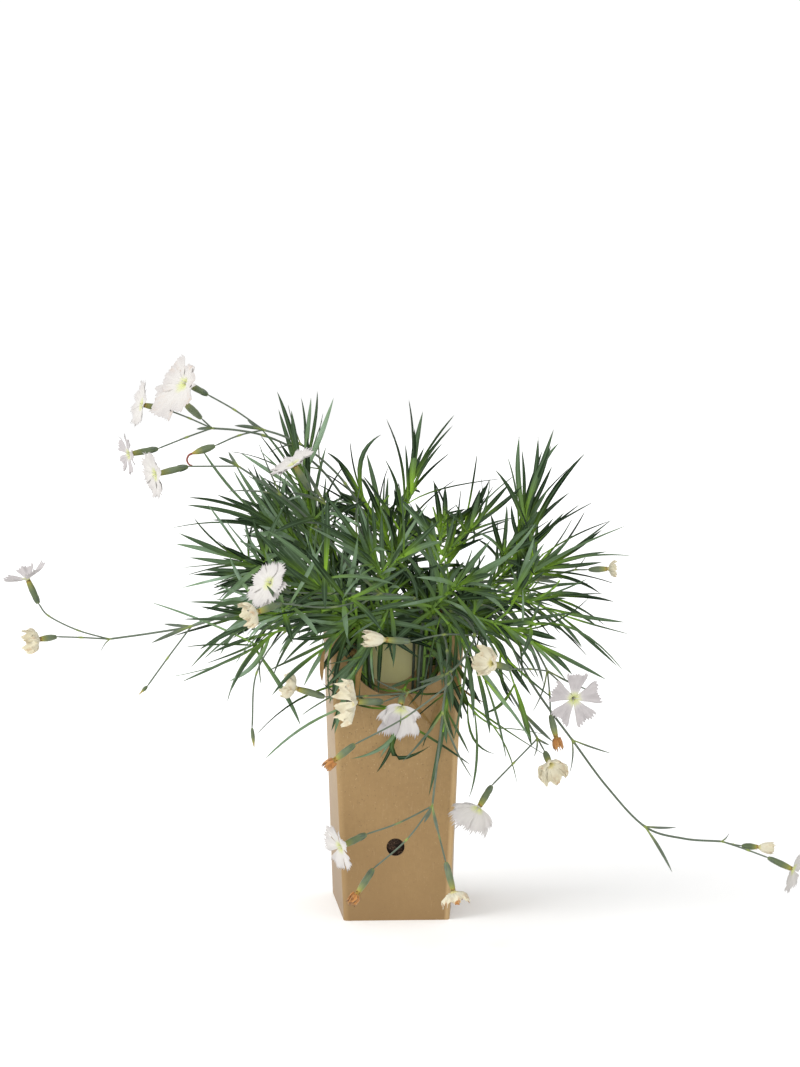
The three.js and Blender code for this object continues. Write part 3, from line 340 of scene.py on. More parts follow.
class Room:
    """Rods from a to b with a radius. Each belongs to a stem."""

    def __init__(self, most=40000):
        self.a, self.b = np.zeros((most, 3)), np.zeros((most, 3))
        self.r, self.owner, self.count = np.zeros(most), np.zeros(most, int), 0
        self.middle, self.reach = np.zeros((most, 3)), np.zeros(most)

    def book(self, owner, line, radii):
        for a, b, radius in stretches(line, radii):
            n = self.count
            self.a[n], self.b[n], self.r[n], self.owner[n] = a, b, radius, owner
            self.middle[n] = (a + b) / 2
            self.reach[n] = length_of(b - a) / 2 + radius
            self.count += 1

    def nearest(self, p, q, rods):
        """For each rod, the share along p to q of its nearest point, and the way to it from the rod."""
        along1, along2 = q - p, self.b[rods] - self.a[rods]
        offset = p - self.a[rods]
        a, e = along1 @ along1, (along2 * along2).sum(1)
        f, b, c = (along2 * offset).sum(1), along2 @ along1, offset @ along1
        spread = a * e - b * b
        flat = spread <= 1e-9
        u = np.where(flat, 0, np.clip((b * f - c * e) / np.where(flat, 1, spread), 0, 1))
        v = (b * u + f) / e
        u = np.where(v < 0, np.clip(-c / a, 0, 1), np.where(v > 1, np.clip((b - c) / a, 0, 1), u))
        v = np.clip(v, 0, 1)
        return u, offset + u[:, None] * along1 - v[:, None] * along2

    def free(self, owner, own, line, radii, room):
        """Whether a line keeps the wanted room to every rod, of its own stem or of the others."""
        n = self.count
        theirs = (self.owner[:n] == owner) == own
        for a, b, radius in stretches(line, radii):
            reach = length_of(b - a) / 2 + radius + room
            gaps = self.middle[:n] - (a + b) / 2
            near = np.flatnonzero(theirs & ((gaps * gaps).sum(1) <= (reach + self.reach[:n]) ** 2))
            if not len(near):
                continue
            _, way = self.nearest(a, b, near)
            if ((way * way).sum(1) < (radius + self.r[near] + room) ** 2).any():
                return False
        return True

    def bend_clear(self, owner, line, radii, first_free, last_free, passes):
        """Moves the free points of a line aside until it clears the rods of other stems."""
        others = np.flatnonzero(self.owner[: self.count] != owner)
        for _ in range(passes):
            moved = False
            for i in range(len(line) - 1):
                radius = max(radii[i], radii[i + 1])
                left = others
                while len(left):
                    u, way = self.nearest(line[i], line[i + 1], left)
                    far = np.sqrt((way * way).sum(1))
                    missing = radius + self.r[left] + ROOM_STEM - far
                    hits = np.flatnonzero(missing > 0)
                    if not len(hits):
                        break
                    k = hits[0]
                    moved = True
                    push = way[k] / far[k] * (missing[k] + 0.1)
                    if first_free <= i <= last_free:
                        line[i] += push * (1 - u[k])
                    if first_free <= i + 1 <= last_free:
                        line[i + 1] += push * u[k]
                    left = left[k + 1 :]
            if not moved:
                return


room = Room()

# ---- The carton's shape ----


def section_at(z, inset=0.0):
    """The carton's outer section at a height: half widths in front and behind, and half depth."""
    return [mix(low, high, z / CARTON_HEIGHT) - inset for low, high in zip(CARTON_FOOT, CARTON_RIM)]


def front_edge(x):
    """The height of the front wall's edge: a half ellipse is cut out of it."""
    return CARTON_HEIGHT - SCOOP_DEEP * math.sqrt(1 - min(abs(x) / SCOOP_HALF, 1) ** 2)


def clear_of_carton(p, radius):
    """Whether a ball of the radius stands clear of the carton's walls and of what fills it."""
    space = radius + ROOM_WALL
    if p[2] > CARTON_HEIGHT + space:
        return True
    front, back, depth = section_at(max(p[2], 0))
    half = mix(front, back, (p[1] + depth) / (2 * depth))
    outside = max(abs(p[0]) - half, abs(p[1]) - depth)
    if outside > space:
        return p[2] > space
    if outside < -CARTON_WALL - space:
        return p[2] > CARTON_HEIGHT - SCOOP_DEEP
    return p[1] < 0 and abs(p[0]) < SCOOP_HALF - space and p[2] > front_edge(p[0]) + space


def line_clear_of_carton(line, radii):
    for a, b, radius in stretches(line, radii):
        count = math.ceil(length_of(b - a) / 4)
        if not all(clear_of_carton(a + (b - a) * (k / count), radius) for k in range(count + 1)):
            return False
    return True


# ---- Leaves ----

Leaf = namedtuple("Leaf", "base start end side length width")
Stem = namedtuple("Stem", "line radii frames")


def leaf_point(leaf, t):
    """A leaf bends from its first direction to its last one along a parabola."""
    return leaf.base + leaf.start * (leaf.length * (t - t * t / 2)) + leaf.end * (leaf.length * t * t / 2)


def leaf_at(stem, at, face, aside, tilt, tip_tilt, length, width, droop):
    """A leaf on a face of a joint: turned aside a little, tilted from the stem at the base and at the tip."""
    tangent, first, second = stem.frames[at]
    away = turned(first, second, face * math.pi / 2 + aside)
    start = turned(tangent, away, tilt)
    end = unit(turned(tangent, away, tip_tilt) - UP * droop)
    base = stem.line[at] + away * (stem.radii[at] * 0.7)
    return Leaf(base, start, end, unit(np.cross(away, tangent)), length, width)


def has_room(owner, leaf, slim=1.0, space=ROOM_LEAF):
    """Whether a leaf has room among what stands already. If so, its place is booked."""
    line = [leaf_point(leaf, t) for t in LEAF_STATIONS]
    radii = [leaf.width / 2 * share * slim for share in LEAF_PROFILE]
    outer = [leaf_point(leaf, LEAF_FREE), *line[1:]]
    if not line_clear_of_carton(line, radii) or not room.free(owner, False, line, radii, space):
        return False
    if not room.free(owner, True, outer, radii, space * ROOM_SIBLING / ROOM_LEAF):
        return False
    room.book(owner, line, radii)
    return True


def place_leaf(owner, seed, draw):
    """Draws a leaf until it has room."""
    for attempt in range(LEAF_TRIES):
        leaf = draw(stream(seed * LEAF_TRIES + attempt), attempt / LEAF_TRIES)
        if has_room(owner, leaf):
            return [leaf]
    return []


# ---- Stems ----


def laid(owner, line, start, end, turn, first_free, last_free=None, passes=ROOM_PASSES):
    """A line that keeps its fixed points and clears what stands already, with its radii and frames."""
    last_free = len(line) - 1 if last_free is None else last_free
    radii = [mix(start, end, i / (len(line) - 1)) for i in range(len(line))]
    room.bend_clear(owner, line, radii, first_free, last_free, passes)
    room.book(owner, line, radii)
    return Stem(line, radii, frames_of(line, math.radians(turn)))


def root_line(rim):
    """A stem stands in the soil and rises straight to a little above the rim."""
    soil = vec([rim[0] * STEM_LEAN, rim[1] * STEM_LEAN, SOIL_TOP])
    top = vec([rim[0], rim[1], CARTON_HEIGHT + STEM_ABOVE_RIM])
    return [soil - unit(top - soil) * STEM_SUNK, top]


def leafy_lines(owner, stem):
    """A leafy stem: its trunk, then each shoot from the fork, with a point at each of its pairs of leaves."""
    foot, top = root_line(stem.rim)
    trunk = laid(owner, [foot, top, vec(stem.fork)], TRUNK_RADIUS, FORK_RADIUS, 0, 2)
    fork = trunk.line[2].copy()
    rise = unit(fork - top)
    lines = []
    for shoot in stem.shoots:
        tip = vec(shoot.tip)
        middle = (fork + tip) / 2 + rise * (SHOOT_BOW * length_of(tip - fork))
        shares = [0] + [mix(FIRST_PAIR, 1, k / (shoot.pairs - 1)) for k in range(shoot.pairs)]
        line = [on_curve([fork, middle, tip], share) for share in shares]
        lines.append(laid(owner, line, FORK_RADIUS, SHOOT_TIP_RADIUS, shoot.turn, 1))
    return trunk, lines


def shoot_leaves(owner, seed, stem, shoot):
    """Leaves in pairs, each pair square to the one below. The upper ones stand closer to the shoot."""
    leaves = []
    for i in range(shoot.pairs * 2):
        pair = i // 2
        share = pair / (shoot.pairs - 1)

        def draw(random, effort):
            aside = (random() - 0.5) * mix(0.5, 1, effort)
            tilt = math.radians(mix(LOW_TILT, HIGH_TILT, share)) * mix(0.8, 1.3, random())
            tip_tilt = tilt + math.radians(mix(LOW_CURL, HIGH_CURL, share)) * mix(0.2, 1.2, random())
            size = shoot.length * mix(0.8, 1.05, random()) * mix(1, 0.65, effort)
            width = LEAF_WIDTH * mix(0.85, 1.15, random())
            sag = (shoot.droop + 0.05) * mix(0.5, 1.5, random())
            face = pair % 2 + 2 * (i % 2)
            return leaf_at(stem, pair + 1, face, aside, tilt, tip_tilt, size, width, sag)

        leaves += place_leaf(owner, seed + i, draw)
    return leaves


def flowering_lines(owner, stem):
    """A flower stem: its main line, with joints at the points of its route, then each branch to its head."""
    foot, top = root_line(stem.rim)
    points = [top, *map(vec, stem.route)]
    count = ROUTE_STEPS * len(stem.route)
    curve = [on_curve(points, i / count) for i in range(count + 1)]
    main = laid(owner, [foot, *curve], FLOWERING_FOOT, FLOWERING_TOP, 0, 2)
    joints = [1 + ROUTE_STEPS * (k + 1) for k in range(len(stem.route))]
    branches = []
    for head in stem.heads:
        line = [main.line[joints[head.start]].copy(), *map(vec, head.via), vec(head.base)]
        branches.append(laid(owner, line, BRANCH_RADIUS, BRANCH_RADIUS, 0, 1, len(line) - 2).line)
    return main, joints, branches


def joint_leaves(owner, seed, main, joints, pairs):
    """Small leaves in a pair at each joint that bears them."""
    leaves = []
    for k, (point, length, face) in enumerate(pairs):
        for half in (0, 1):

            def draw(random, effort):
                aside = (random() - 0.5) * mix(0.5, 1.2, effort)
                tilt = math.radians(mix(22, 40, random()))
                tip_tilt = tilt + math.radians(mix(5, 30, random()))
                size = length * mix(0.85, 1.1, random()) * mix(1, 0.6, effort)
                width = LEAF_WIDTH * mix(0.55, 0.8, min(length / 45, 1))
                sag = 0.15 * random()
                return leaf_at(main, joints[point], face + 2 * half, aside, tilt, tip_tilt, size, width, sag)

            leaves += place_leaf(owner, seed + k * 2 + half, draw)
    return leaves


def head_axes(head):
    """The direction in which a head opens, and two square to it."""
    opening = unit(vec(head.direction))
    return opening, *sides_of(opening)


def book_head(owner, head):
    """What a head takes up: its calyx, and spokes out to the rim of its petals."""
    opening, first, second = head_axes(head)
    mouth = vec(head.base) + opening * head.length
    room.book(owner, [vec(head.base), mouth], [CALYX_RADIUS, CALYX_RADIUS])
    if head.kind not in PETALS:
        return
    kind = PETALS[head.kind]
    radius = kind.radius * head.size
    middle = mouth + opening * BLOOM_NECK
    for k in range(12):
        angle = k / 12 * 2 * math.pi
        rim = middle + first * (radius * math.cos(angle)) + second * (radius * math.sin(angle))
        rim += opening * (radius * kind.rise)
        room.book(owner, [middle, rim], [1 + radius * kind.wave] * 2)


# Heads and stems take their places first, and then the leaves fill what is left. The owner of a place is the
# stem's number, where the leafy stems come after the flower stems.
for owner, stem in enumerate(FLOWER_STEMS):
    for head in stem.heads:
        book_head(owner, head)
flowering = [flowering_lines(owner, stem) for owner, stem in enumerate(FLOWER_STEMS)]
first_leafy = len(FLOWER_STEMS)
leafy = [leafy_lines(first_leafy + i, stem) for i, stem in enumerate(LEAFY_STEMS)]
flowering_leaves = [
    joint_leaves(owner, (owner + 1) * SEED_STEP, main, joints, FLOWER_STEMS[owner].pairs)
    for owner, (main, joints, _) in enumerate(flowering)
]
leafy_leaves = []
for i, (_, stems) in enumerate(leafy):
    leaves = []
    for k, (stem, shoot) in enumerate(zip(stems, LEAFY_STEMS[i].shoots)):
        seed = (i + 1 + first_leafy) * SEED_STEP + k * SHOOT_STEP
        leaves += shoot_leaves(first_leafy + i, seed, stem, shoot)
    leafy_leaves.append(leaves)

# ---- More foliage: side shoots, closer pairs, low leaves and a pair at each tip ----

SLIM, ADDED_SPACE = 0.35, 0.1  # added leaves may pass close by, so their rods are slimmer
ADDED_SEED, STEM_SEEDS, SHOOT_SEEDS = 10000, 1000, 200
ADDED_WIDTH = 4.6
DROOPING = 0.25  # a shoot that droops more bears no side shoot
SIDE_SHOOTS = ((1, 0.6), (2, 0.5))  # the joint that bears each, and its share of the shoot's length
SIDE_RADIUS, SPRAY_TURN, FEW_PASSES = 0.9, 20, 12
SIDE_LEAF, SIDE_DROOP = 0.85, 0.05  # the length of its leaves, as a share of the shoot's, and their droop
Spot = namedtuple("Spot", "stem at face tilts length droop")


def added_leaf(random, effort, spot):
    """One draw of a leaf within the spot's tilts, which are in degrees."""
    aside = (random() - 0.5) * mix(0.8, 2.0, effort)
    tilt = math.radians(mix(*spot.tilts, random()))
    tip_tilt = tilt + math.radians(mix(-6, 40, random()))
    size = spot.length * mix(0.6, 1.3, random()) * mix(1, 0.6, effort)
    width = ADDED_WIDTH * mix(0.65, 1.15, random())
    sag = (spot.droop + 0.05) * mix(0.3, 1.7, random())
    return leaf_at(spot.stem, spot.at, spot.face, aside, tilt, tip_tilt, size, width, sag)


def pairs_at(stem, points, tilts, length, droop):
    """Spots for leaves in pairs, between the faces of the part's own pairs."""
    return [
        Spot(stem, at, (k % 2) + 2 * half + 0.5, tilts, length, droop)
        for k, at in enumerate(points)
        for half in (0, 1)
    ]


def halfway(stem):
    """The same stem with a point between each two, for the pairs between the part's own."""
    line = [on_curve(stem.line, i / 2 / (len(stem.line) - 1)) for i in range(2 * len(stem.line) - 1)]
    radii = np.interp(np.arange(len(line)) / 2, range(len(stem.radii)), stem.radii)
    return Stem(line, list(radii), frames_of(line, 0.4))


def side_shoot(owner, seed, stem, at, length):
    """A short shoot out of a joint of another."""
    random = stream(ADDED_SEED + seed)
    tangent, first, second = stem.frames[at]
    around = random() * 2 * math.pi
    away = turned(first, second, around)
    if away[2] < -0.3:
        away = away - 1.6 * away[2] * UP
    heading = unit(tangent * mix(0.4, 1.0, random()) + away + UP * mix(0.0, 0.4, random()))
    start = stem.line[at]
    tip = start + heading * length
    middle = (start + tip) / 2 + tangent * (0.12 * length)
    line = [on_curve([start, middle, tip], share) for share in (0, 0.35, 0.7, 1)]
    if not all(clear_of_carton(p, 2) for p in line[1:]):
        return None
    thick, thin = FORK_RADIUS * SIDE_RADIUS, SHOOT_TIP_RADIUS * SIDE_RADIUS
    return laid(owner, line, thick, thin, math.degrees(around), 1, passes=FEW_PASSES)


# Shoots that hang over the scooped front edge: the stem that bears them, their height on its trunk, their
# leaves' length and droop, and the points that they pass.
SPRAYS = [
    ("front_left", 206, 42, 0.3, [(-30, -45, 211), (-34, -55, 205), (-40, -64, 190), (-46, -72, 176)]),
    ("front_right", 194, 36, 0.5, [(13, -44, 193), (6, -54, 189), (3, -62, 177), (2, -66, 166)]),
    ("front_right", 212, 44, 0.5,
     [(32, -45, 213), (37, -55, 207), (39, -63, 192), (38, -70, 174), (35, -75, 158)]),
    ("right_front", 222, 46, 0.4,
     [(40, -45, 221), (44, -55, 212), (50, -61, 190), (61, -67, 171), (78, -74, 160)]),
]


def on_trunk(trunk, height):
    """The point of a trunk at a height below the rim."""
    foot, top = trunk.line[:2]
    return mix(foot, top, (height - foot[2]) / (top[2] - foot[2]))


added_stems = [[] for _ in LEAFY_STEMS]
stem_number = {stem.name: i for i, stem in enumerate(LEAFY_STEMS)}
for name, height, length, droop, points in SPRAYS:
    i = stem_number[name]
    line = [on_trunk(leafy[i][0], height), *map(vec, points)]
    spray = laid(first_leafy + i, line, FORK_RADIUS, SHOOT_TIP_RADIUS, SPRAY_TURN, 1, passes=FEW_PASSES)
    added_stems[i].append((spray, length, droop))
for i, (_, stems) in enumerate(leafy):
    for k, (stem, shoot) in enumerate(zip(stems, LEAFY_STEMS[i].shoots)):
        for n, (at, share) in enumerate(SIDE_SHOOTS if shoot.droop <= DROOPING else ()):
            seed = i * STEM_SEEDS + k * SHOOT_SEEDS + n
            extra = side_shoot(first_leafy + i, seed, stem, at, shoot.length * share)
            if extra:
                added_stems[i].append((extra, shoot.length * SIDE_LEAF, SIDE_DROOP))

# The room in front of the label is taken, so that no leaf that is added hangs there.
NOBODY, BEFORE_LABEL, BEFORE_RADIUS = -1, (-12, 3, 18), 13
for x in BEFORE_LABEL:
    room.book(NOBODY, [vec([x, 40, 203]), vec([x - 3, -75, 209])], [BEFORE_RADIUS] * 2)

# Leaves that stand out in the photograph, by the stem that bears them: base, middle and tip, and width.
PLACED_LEAVES = {
    "left_crest": [
        ((-74, -12, 352), (-82, -17, 390), (-94, -18, 422), 4.6),
        ((-74, -12, 352), (-73, -12, 389), (-75, -8, 417), 2.4),
        ((-74, -12, 352), (-68, -18, 391), (-67, -20, 417), 4.0),
        ((-74, -12, 352), (-65, -10, 392), (-62, -4, 422), 3.2),
        ((-74, -12, 352), (-61, -19, 386), (-49, -22, 417), 4.6),
    ],
    "centre_crest": [
        ((-24, 22, 330), (-27, 18, 365), (-10, 18, 386), 4.6),
        ((-24, 22, 330), (-40, 16, 357), (-55, 14, 372), 3.4),
        ((13, -14, 339), (15, -18, 371), (22, -18, 406), 5.4),
        ((12, -12, 336), (23, -12, 359), (39, -8, 381), 2.8),
        ((10, -9, 333), (10, -14, 357), (8, -15, 380), 2.6),
        ((9, -6, 330), (38, -12, 343), (88, -14, 352), 2.2),
    ],
    "centre_right": [
        ((39, 12, 308), (62, 7, 323), (74, 6, 336), 4.8),
        ((59, -18, 311), (69, -20, 327), (68, -18, 355), 3.0),
        ((60, -20, 312), (70, -25, 326), (75, -26, 353), 2.6),
        ((52, 1, 300), (64, -6, 302), (60, -9, 326), 4.4),
    ],
    "right_crest": [
        ((105, -14, 313), (100, -18, 351), (99, -18, 386), 4.8),
        ((105, -14, 313), (111, -14, 351), (115, -10, 385), 4.8),
        ((105, -14, 313), (114, -19, 353), (131, -20, 381), 4.6),
        ((105, -12, 292), (123, -19, 335), (152, -22, 373), 5.0),
        ((104, -12, 311), (96, -19, 337), (79, -22, 360), 4.8),
        ((104, 4, 318), (105, 6, 345), (104, 12, 375), 3.2),
        ((105, -12, 292), (126, -11, 313), (150, -6, 331), 4.6),
        ((105, -12, 292), (97, -16, 312), (93, -16, 331), 4.0),
    ],
    "right_middle": [
        ((82, -22, 256), (127, -32, 288), (183, -38, 316), 5.2),
        ((106, -33, 255), (135, -35, 259), (166, -33, 261), 3.6),
    ],
    "front_right": [
        ((46, -102, 276), (79, -113, 296), (102, -120, 326), 5.4),
        ((46, -102, 276), (69, -115, 286), (73, -124, 304), 5.0),
        ((2, -66, 166), (-11, -71, 147), (-37, -73, 137), 3.6),
        ((2, -66, 166), (-5, -69, 143), (-17, -70, 125), 3.0),
        ((2, -66, 166), (-4, -67, 152), (-14, -66, 136), 3.2),
        ((3, -62, 176), (-3, -73, 140), (25, -75, 147), 4.2),
        ((2, -66, 166), (31, -70, 149), (57, -72, 131), 4.6),
        ((3, -62, 177), (-27, -66, 182), (-60, -68, 215), 4.4),
        ((3, -62, 177), (-28, -69, 178), (-60, -74, 198), 4.0),
        ((6, -54, 189), (-20, -62, 194), (-42, -66, 228), 3.8),
        ((6, -54, 189), (30, -62, 186), (60, -70, 200), 4.0),
        ((38, -68, 178), (26, -72, 161), (19, -72, 145), 4.0),
        ((39, -67, 183), (37, -73, 167), (38, -75, 148), 4.8),
        ((39, -65, 188), (31, -70, 149), (24, -71, 106), 4.4),
        ((39, -65, 188), (25, -70, 178), (12, -71, 167), 4.2),
    ],
    "right_front": [
        ((100, -87, 242), (137, -94, 239), (173, -97, 208), 4.4),
        ((103, -95, 245), (121, -94, 242), (142, -89, 225), 4.4),
        ((87, -70, 239), (106, -75, 229), (124, -76, 224), 4.6),
        ((55, -64, 179), (76, -68, 163), (119, -68, 136), 4.6),
        ((55, -64, 179), (80, -68, 153), (94, -68, 114), 2.6),
        ((55, -64, 179), (60, -66, 151), (77, -64, 138), 2.2),
        ((60, -67, 172), (63, -72, 135), (55, -73, 104), 2.4),
        ((80, -73, 220), (81, -76, 197), (92, -75, 177), 3.4),
        ((90, -80, 196), (79, -84, 181), (65, -84, 174), 2.8),
        ((78, -74, 160), (93, -78, 160), (114, -78, 156), 1.8),
    ],
    "left_front": [
        ((-109, -57, 224), (-149, -59, 243), (-193, -57, 259), 4.0),
        ((-106, -57, 227), (-135, -63, 212), (-179, -65, 201), 3.2),
        ((-109, -57, 224), (-137, -57, 225), (-166, -53, 223), 3.8),
        ((-100, -58, 232), (-113, -63, 211), (-132, -64, 197), 4.2),
        ((-112, -56, 222), (-90, -60, 188), (-76, -60, 161), 4.4),
    ],
    "front_left": [
        ((-46, -72, 176), (-76, -74, 160), (-104, -72, 137), 5.4),
        ((-38, -61, 195), (-78, -66, 182), (-111, -67, 155), 5.0),
        ((-43, -68, 183), (-47, -75, 174), (-52, -78, 160), 3.6),
        ((-40, -63, 191), (-62, -71, 180), (-75, -75, 172), 3.4),
    ],
}


def leaf_through(base, middle, tip, width):
    """A leaf through three points."""
    turning = 2 * middle - (base + tip) / 2
    length = length_of(tip - base)
    start, end = (turning - base) * (2 / length), (tip - turning) * (2 / length)
    facing = (0.2, 0.5, 1) if abs(unit(start)[2]) < 0.8 else (0.3, 1, 0.3)
    return Leaf(base, start, end, unit(np.cross(start, vec(facing))), length, width)


PLACED_STATIONS, PLACED_SLIM = (0.15, 0.5, 1), 0.15  # the rods that stand for them, as shares
placed_leaves = [
    [leaf_through(*map(vec, places), width) for *places, width in PLACED_LEAVES.get(stem.name, [])]
    for stem in LEAFY_STEMS
]
for i, leaves in enumerate(placed_leaves):
    for leaf in leaves:
        radii = [leaf.width * PLACED_SLIM] * len(PLACED_STATIONS)
        room.book(first_leafy + i, [leaf_point(leaf, t) for t in PLACED_STATIONS], radii)

# Low leaves stand on a trunk below the rim and at equal steps up to its fork.
LOW_HEIGHTS, LOW_STEPS, LOW_RADIUS = (196, 208, 220), 6, 1.2
LOW_LEAVES, LOW_TURN, LOW_TILTS, LOW_LENGTH, LOW_DROOP = 3, 0.55, (25, 88), 58, 0.2
# The others' tilts from their shoot, in degrees: at its joints, at its tip, and on side shoots and sprays.
JOINT_TILTS, TIP_TILTS, SIDE_TILTS = (12, 52), (3, 12), (12, 50)
TIP_LEAF = 0.75  # the length of those at the tip, as a share


def low_spots(trunk):
    """Spots for leaves on a trunk itself."""
    _, top, fork = trunk.line
    points = [on_trunk(trunk, z) for z in LOW_HEIGHTS]
    points += [mix(top, fork, k / LOW_STEPS) for k in range(LOW_STEPS + 1)]
    low = Stem(points, [LOW_RADIUS] * len(points), [frames_of(trunk.line)[2]] * len(points))
    return [
        Spot(low, k, 4 * n / LOW_LEAVES + LOW_TURN * k, LOW_TILTS, LOW_LENGTH, LOW_DROOP)
        for k in range(len(points))
        for n in range(LOW_LEAVES)
    ]


def spots_of(i):
    """Where a leafy stem may bear one more leaf."""
    trunk, stems = leafy[i]
    spots = low_spots(trunk)
    for stem, shoot in zip(stems, LEAFY_STEMS[i].shoots):
        between = halfway(stem)
        last = len(between.line) - 1
        spots += pairs_at(between, range(1, last, 2), JOINT_TILTS, shoot.length, shoot.droop)
        spots += pairs_at(between, (last,), TIP_TILTS, shoot.length * TIP_LEAF, 0)
    for extra, length, droop in added_stems[i]:
        spots += pairs_at(extra, range(1, len(extra.line)), SIDE_TILTS, length, droop)
    return spots


# ---- The crown, which the added leaves fill as the camera sees it ----

# Its outline in the photograph, read off: x and z, as they are at the depth FACE.
EYE = vec(CAMERA_PLACE) / MM
FACE = -20
CROWN = [
    (-52, 188), (-72, 190), (-100, 178), (-122, 188), (-130, 200), (-168, 208), (-166, 222), (-150, 232),
    (-158, 250), (-172, 270), (-176, 292), (-180, 316), (-158, 328), (-162, 338), (-142, 350), (-134, 366),
    (-128, 386), (-104, 376), (-88, 386), (-76, 402), (-58, 402), (-42, 372), (-40, 354), (-30, 362),
    (-26, 346), (-14, 342), (0, 352), (4, 376), (18, 396), (28, 356), (28, 338), (44, 330), (56, 334),
    (68, 354), (78, 350), (74, 328), (90, 321), (92, 308), (80, 300), (90, 298), (92, 330), (86, 354),
    (100, 384), (114, 384), (130, 372), (122, 346), (148, 360), (134, 330), (150, 332), (168, 326),
    (186, 318), (168, 304), (184, 292), (166, 282), (162, 270), (166, 258), (152, 248), (152, 230),
    (148, 216), (128, 216), (124, 200), (104, 190), (98, 168), (84, 186), (66, 164), (58, 168), (60, 130),
    (24, 118), (22, 160), (8, 176), (-22, 176), (-34, 164), (-54, 176),
]
# The clearings in it, where the ground shows between the leaves: x, z and radius.
CLEARINGS = [
    (-150, 262, 7), (-156, 292, 6), (-134, 302, 5), (-140, 238, 5), (-128, 342, 6), (-122, 326, 4),
    (-112, 304, 4), (-124, 262, 5), (-92, 228, 4), (-72, 232, 3), (-70, 212, 5), (-88, 200, 6),
    (-60, 304, 3), (-44, 298, 4), (-34, 312, 4), (-16, 328, 4), (-8, 302, 5), (-12, 290, 5),
    (-34, 344, 5), (-6, 336, 4), (-52, 352, 4), (30, 326, 4), (36, 310, 5), (48, 302, 5), (38, 290, 6),
    (22, 286, 5), (58, 288, 4), (76, 292, 5), (70, 272, 5), (66, 316, 4), (88, 262, 6), (84, 278, 5),
    (92, 244, 5), (92, 312, 6), (116, 264, 5), (112, 252, 4), (126, 310, 5), (120, 288, 5),
    (150, 276, 4), (138, 252, 4), (126, 232, 4), (90, 200, 5), (76, 200, 4), (112, 204, 4),
    (-12, 203, 7), (6, 199, 5), (-30, 262, 2), (4, 262, 2),
]
# Its close middle, as ellipses: x, z and half sizes. Around it the leaves stand apart.
CORE = [
    (-30, 258, 116, 38), (-84, 316, 36, 34), (-24, 312, 50, 26), (40, 308, 18, 16), (66, 238, 36, 22),
    (104, 268, 12, 60), (40, 190, 22, 44), (-42, 204, 18, 40), (0, 222, 40, 14),
]
WIDEST, BEYOND = 0.42, 0.58  # shares of a leaf's length up to where it is widest, and beyond


def blade_width(t):
    """The share of its width that a leaf has along its length: it clasps the stem and ends in a point."""
    rise = np.clip(t / WIDEST, 0, 1)
    base = 0.48 + 0.44 * rise * rise * (3 - 2 * rise)
    return base * (1 - np.clip((t - WIDEST) / BEYOND, 0, 1) ** 2.5)


class Crown:
    """Square cells over the crown as the camera sees it: where leaves belong, and which are covered."""

    CELL, LEFT, LOW, ACROSS, UPWARDS = 2, -230, 90, 230, 190
    # What a leaf's area is worth in a cell: where it belongs, alone, next to another leaf and over one, and
    # where it doesn't, in the open and over another leaf.
    FILLS, CROWDS, REPEATS, STICKS_OUT, HIDDEN = 1, -0.8, 0.03, -3, -1.5
    ALONG = np.linspace(0.04, 0.97, 16)
    INNER = 0.6  # the points of a leaf lie along its middle and at this share of its half width
    LEAST_AREA = 0.3

    def __init__(self):
        x = self.LEFT + self.CELL * (np.arange(self.ACROSS) + 0.5)[None, :, None]
        z = self.LOW + self.CELL * (np.arange(self.UPWARDS) + 0.5)[:, None, None]
        ax, az = np.array(CROWN, float).T
        bx, bz = np.roll(ax, -1), np.roll(az, -1)
        steep = np.where(az == bz, 1, bz - az)
        crossed = ((az > z) != (bz > z)) & (x < ax + (z - az) * (bx - ax) / steep)
        middle_x, middle_z, radius = np.array(CLEARINGS, float).T
        clear = ((x - middle_x) ** 2 + (z - middle_z) ** 2 < radius**2).any(2)
        self.belongs = (crossed.sum(2) % 2 == 1) & ~clear
        middle_x, middle_z, half_x, half_z = np.array(CORE, float).T
        self.close = (((x - middle_x) / half_x) ** 2 + ((z - middle_z) / half_z) ** 2 < 1).any(2)
        self.covered = np.zeros(self.belongs.shape, bool)
        self.crowded = self.covered.copy()

    def cells(self, leaf):
        """The cells that points of a leaf lie in, and the area in each of its three rows of points."""
        t = self.ALONG[:, None]
        middle = leaf_point(leaf, t)
        half = leaf.side * (self.INNER * leaf.width / 2 * blade_width(t))
        points = np.concatenate([middle, middle + half, middle - half])
        seen = EYE + (points - EYE) * ((FACE - EYE[1]) / (points[:, 1] - EYE[1]))[:, None]
        across = ((seen[:, 0] - self.LEFT) / self.CELL).astype(int).clip(0, self.ACROSS - 1)
        upwards = ((seen[:, 2] - self.LOW) / self.CELL).astype(int).clip(0, self.UPWARDS - 1)
        step = np.gradient(seen[: len(t)], axis=0)
        wide = seen[len(t) : 2 * len(t)] - seen[2 * len(t) :]
        area = np.abs(step[:, 0] * wide[:, 2] - step[:, 2] * wide[:, 0]) / self.INNER / 3
        return upwards, across, np.tile(area.clip(self.LEAST_AREA), 3)

    def worth(self, leaf):
        """What a leaf would be worth here."""
        upwards, across, area = self.cells(leaf)
        fresh = ~self.covered[upwards, across]
        crowded = self.crowded[upwards, across] & ~self.close[upwards, across]
        inside = np.where(fresh, np.where(crowded, self.CROWDS, self.FILLS), self.REPEATS)
        outside = np.where(fresh, self.STICKS_OUT, self.HIDDEN)
        return (np.where(self.belongs[upwards, across], inside, outside) * area).sum()

    def add(self, leaf):
        upwards, across, _ = self.cells(leaf)
        self.covered[upwards, across] = True
        for up in (-1, 0, 1):
            row = (upwards + up).clip(0, self.UPWARDS - 1)
            for aside in (-1, 0, 1):
                self.crowded[row, (across + aside).clip(0, self.ACROSS - 1)] = True


DRAWS, SPOT_SEEDS, LEAST_WORTH = 32, 200, 0


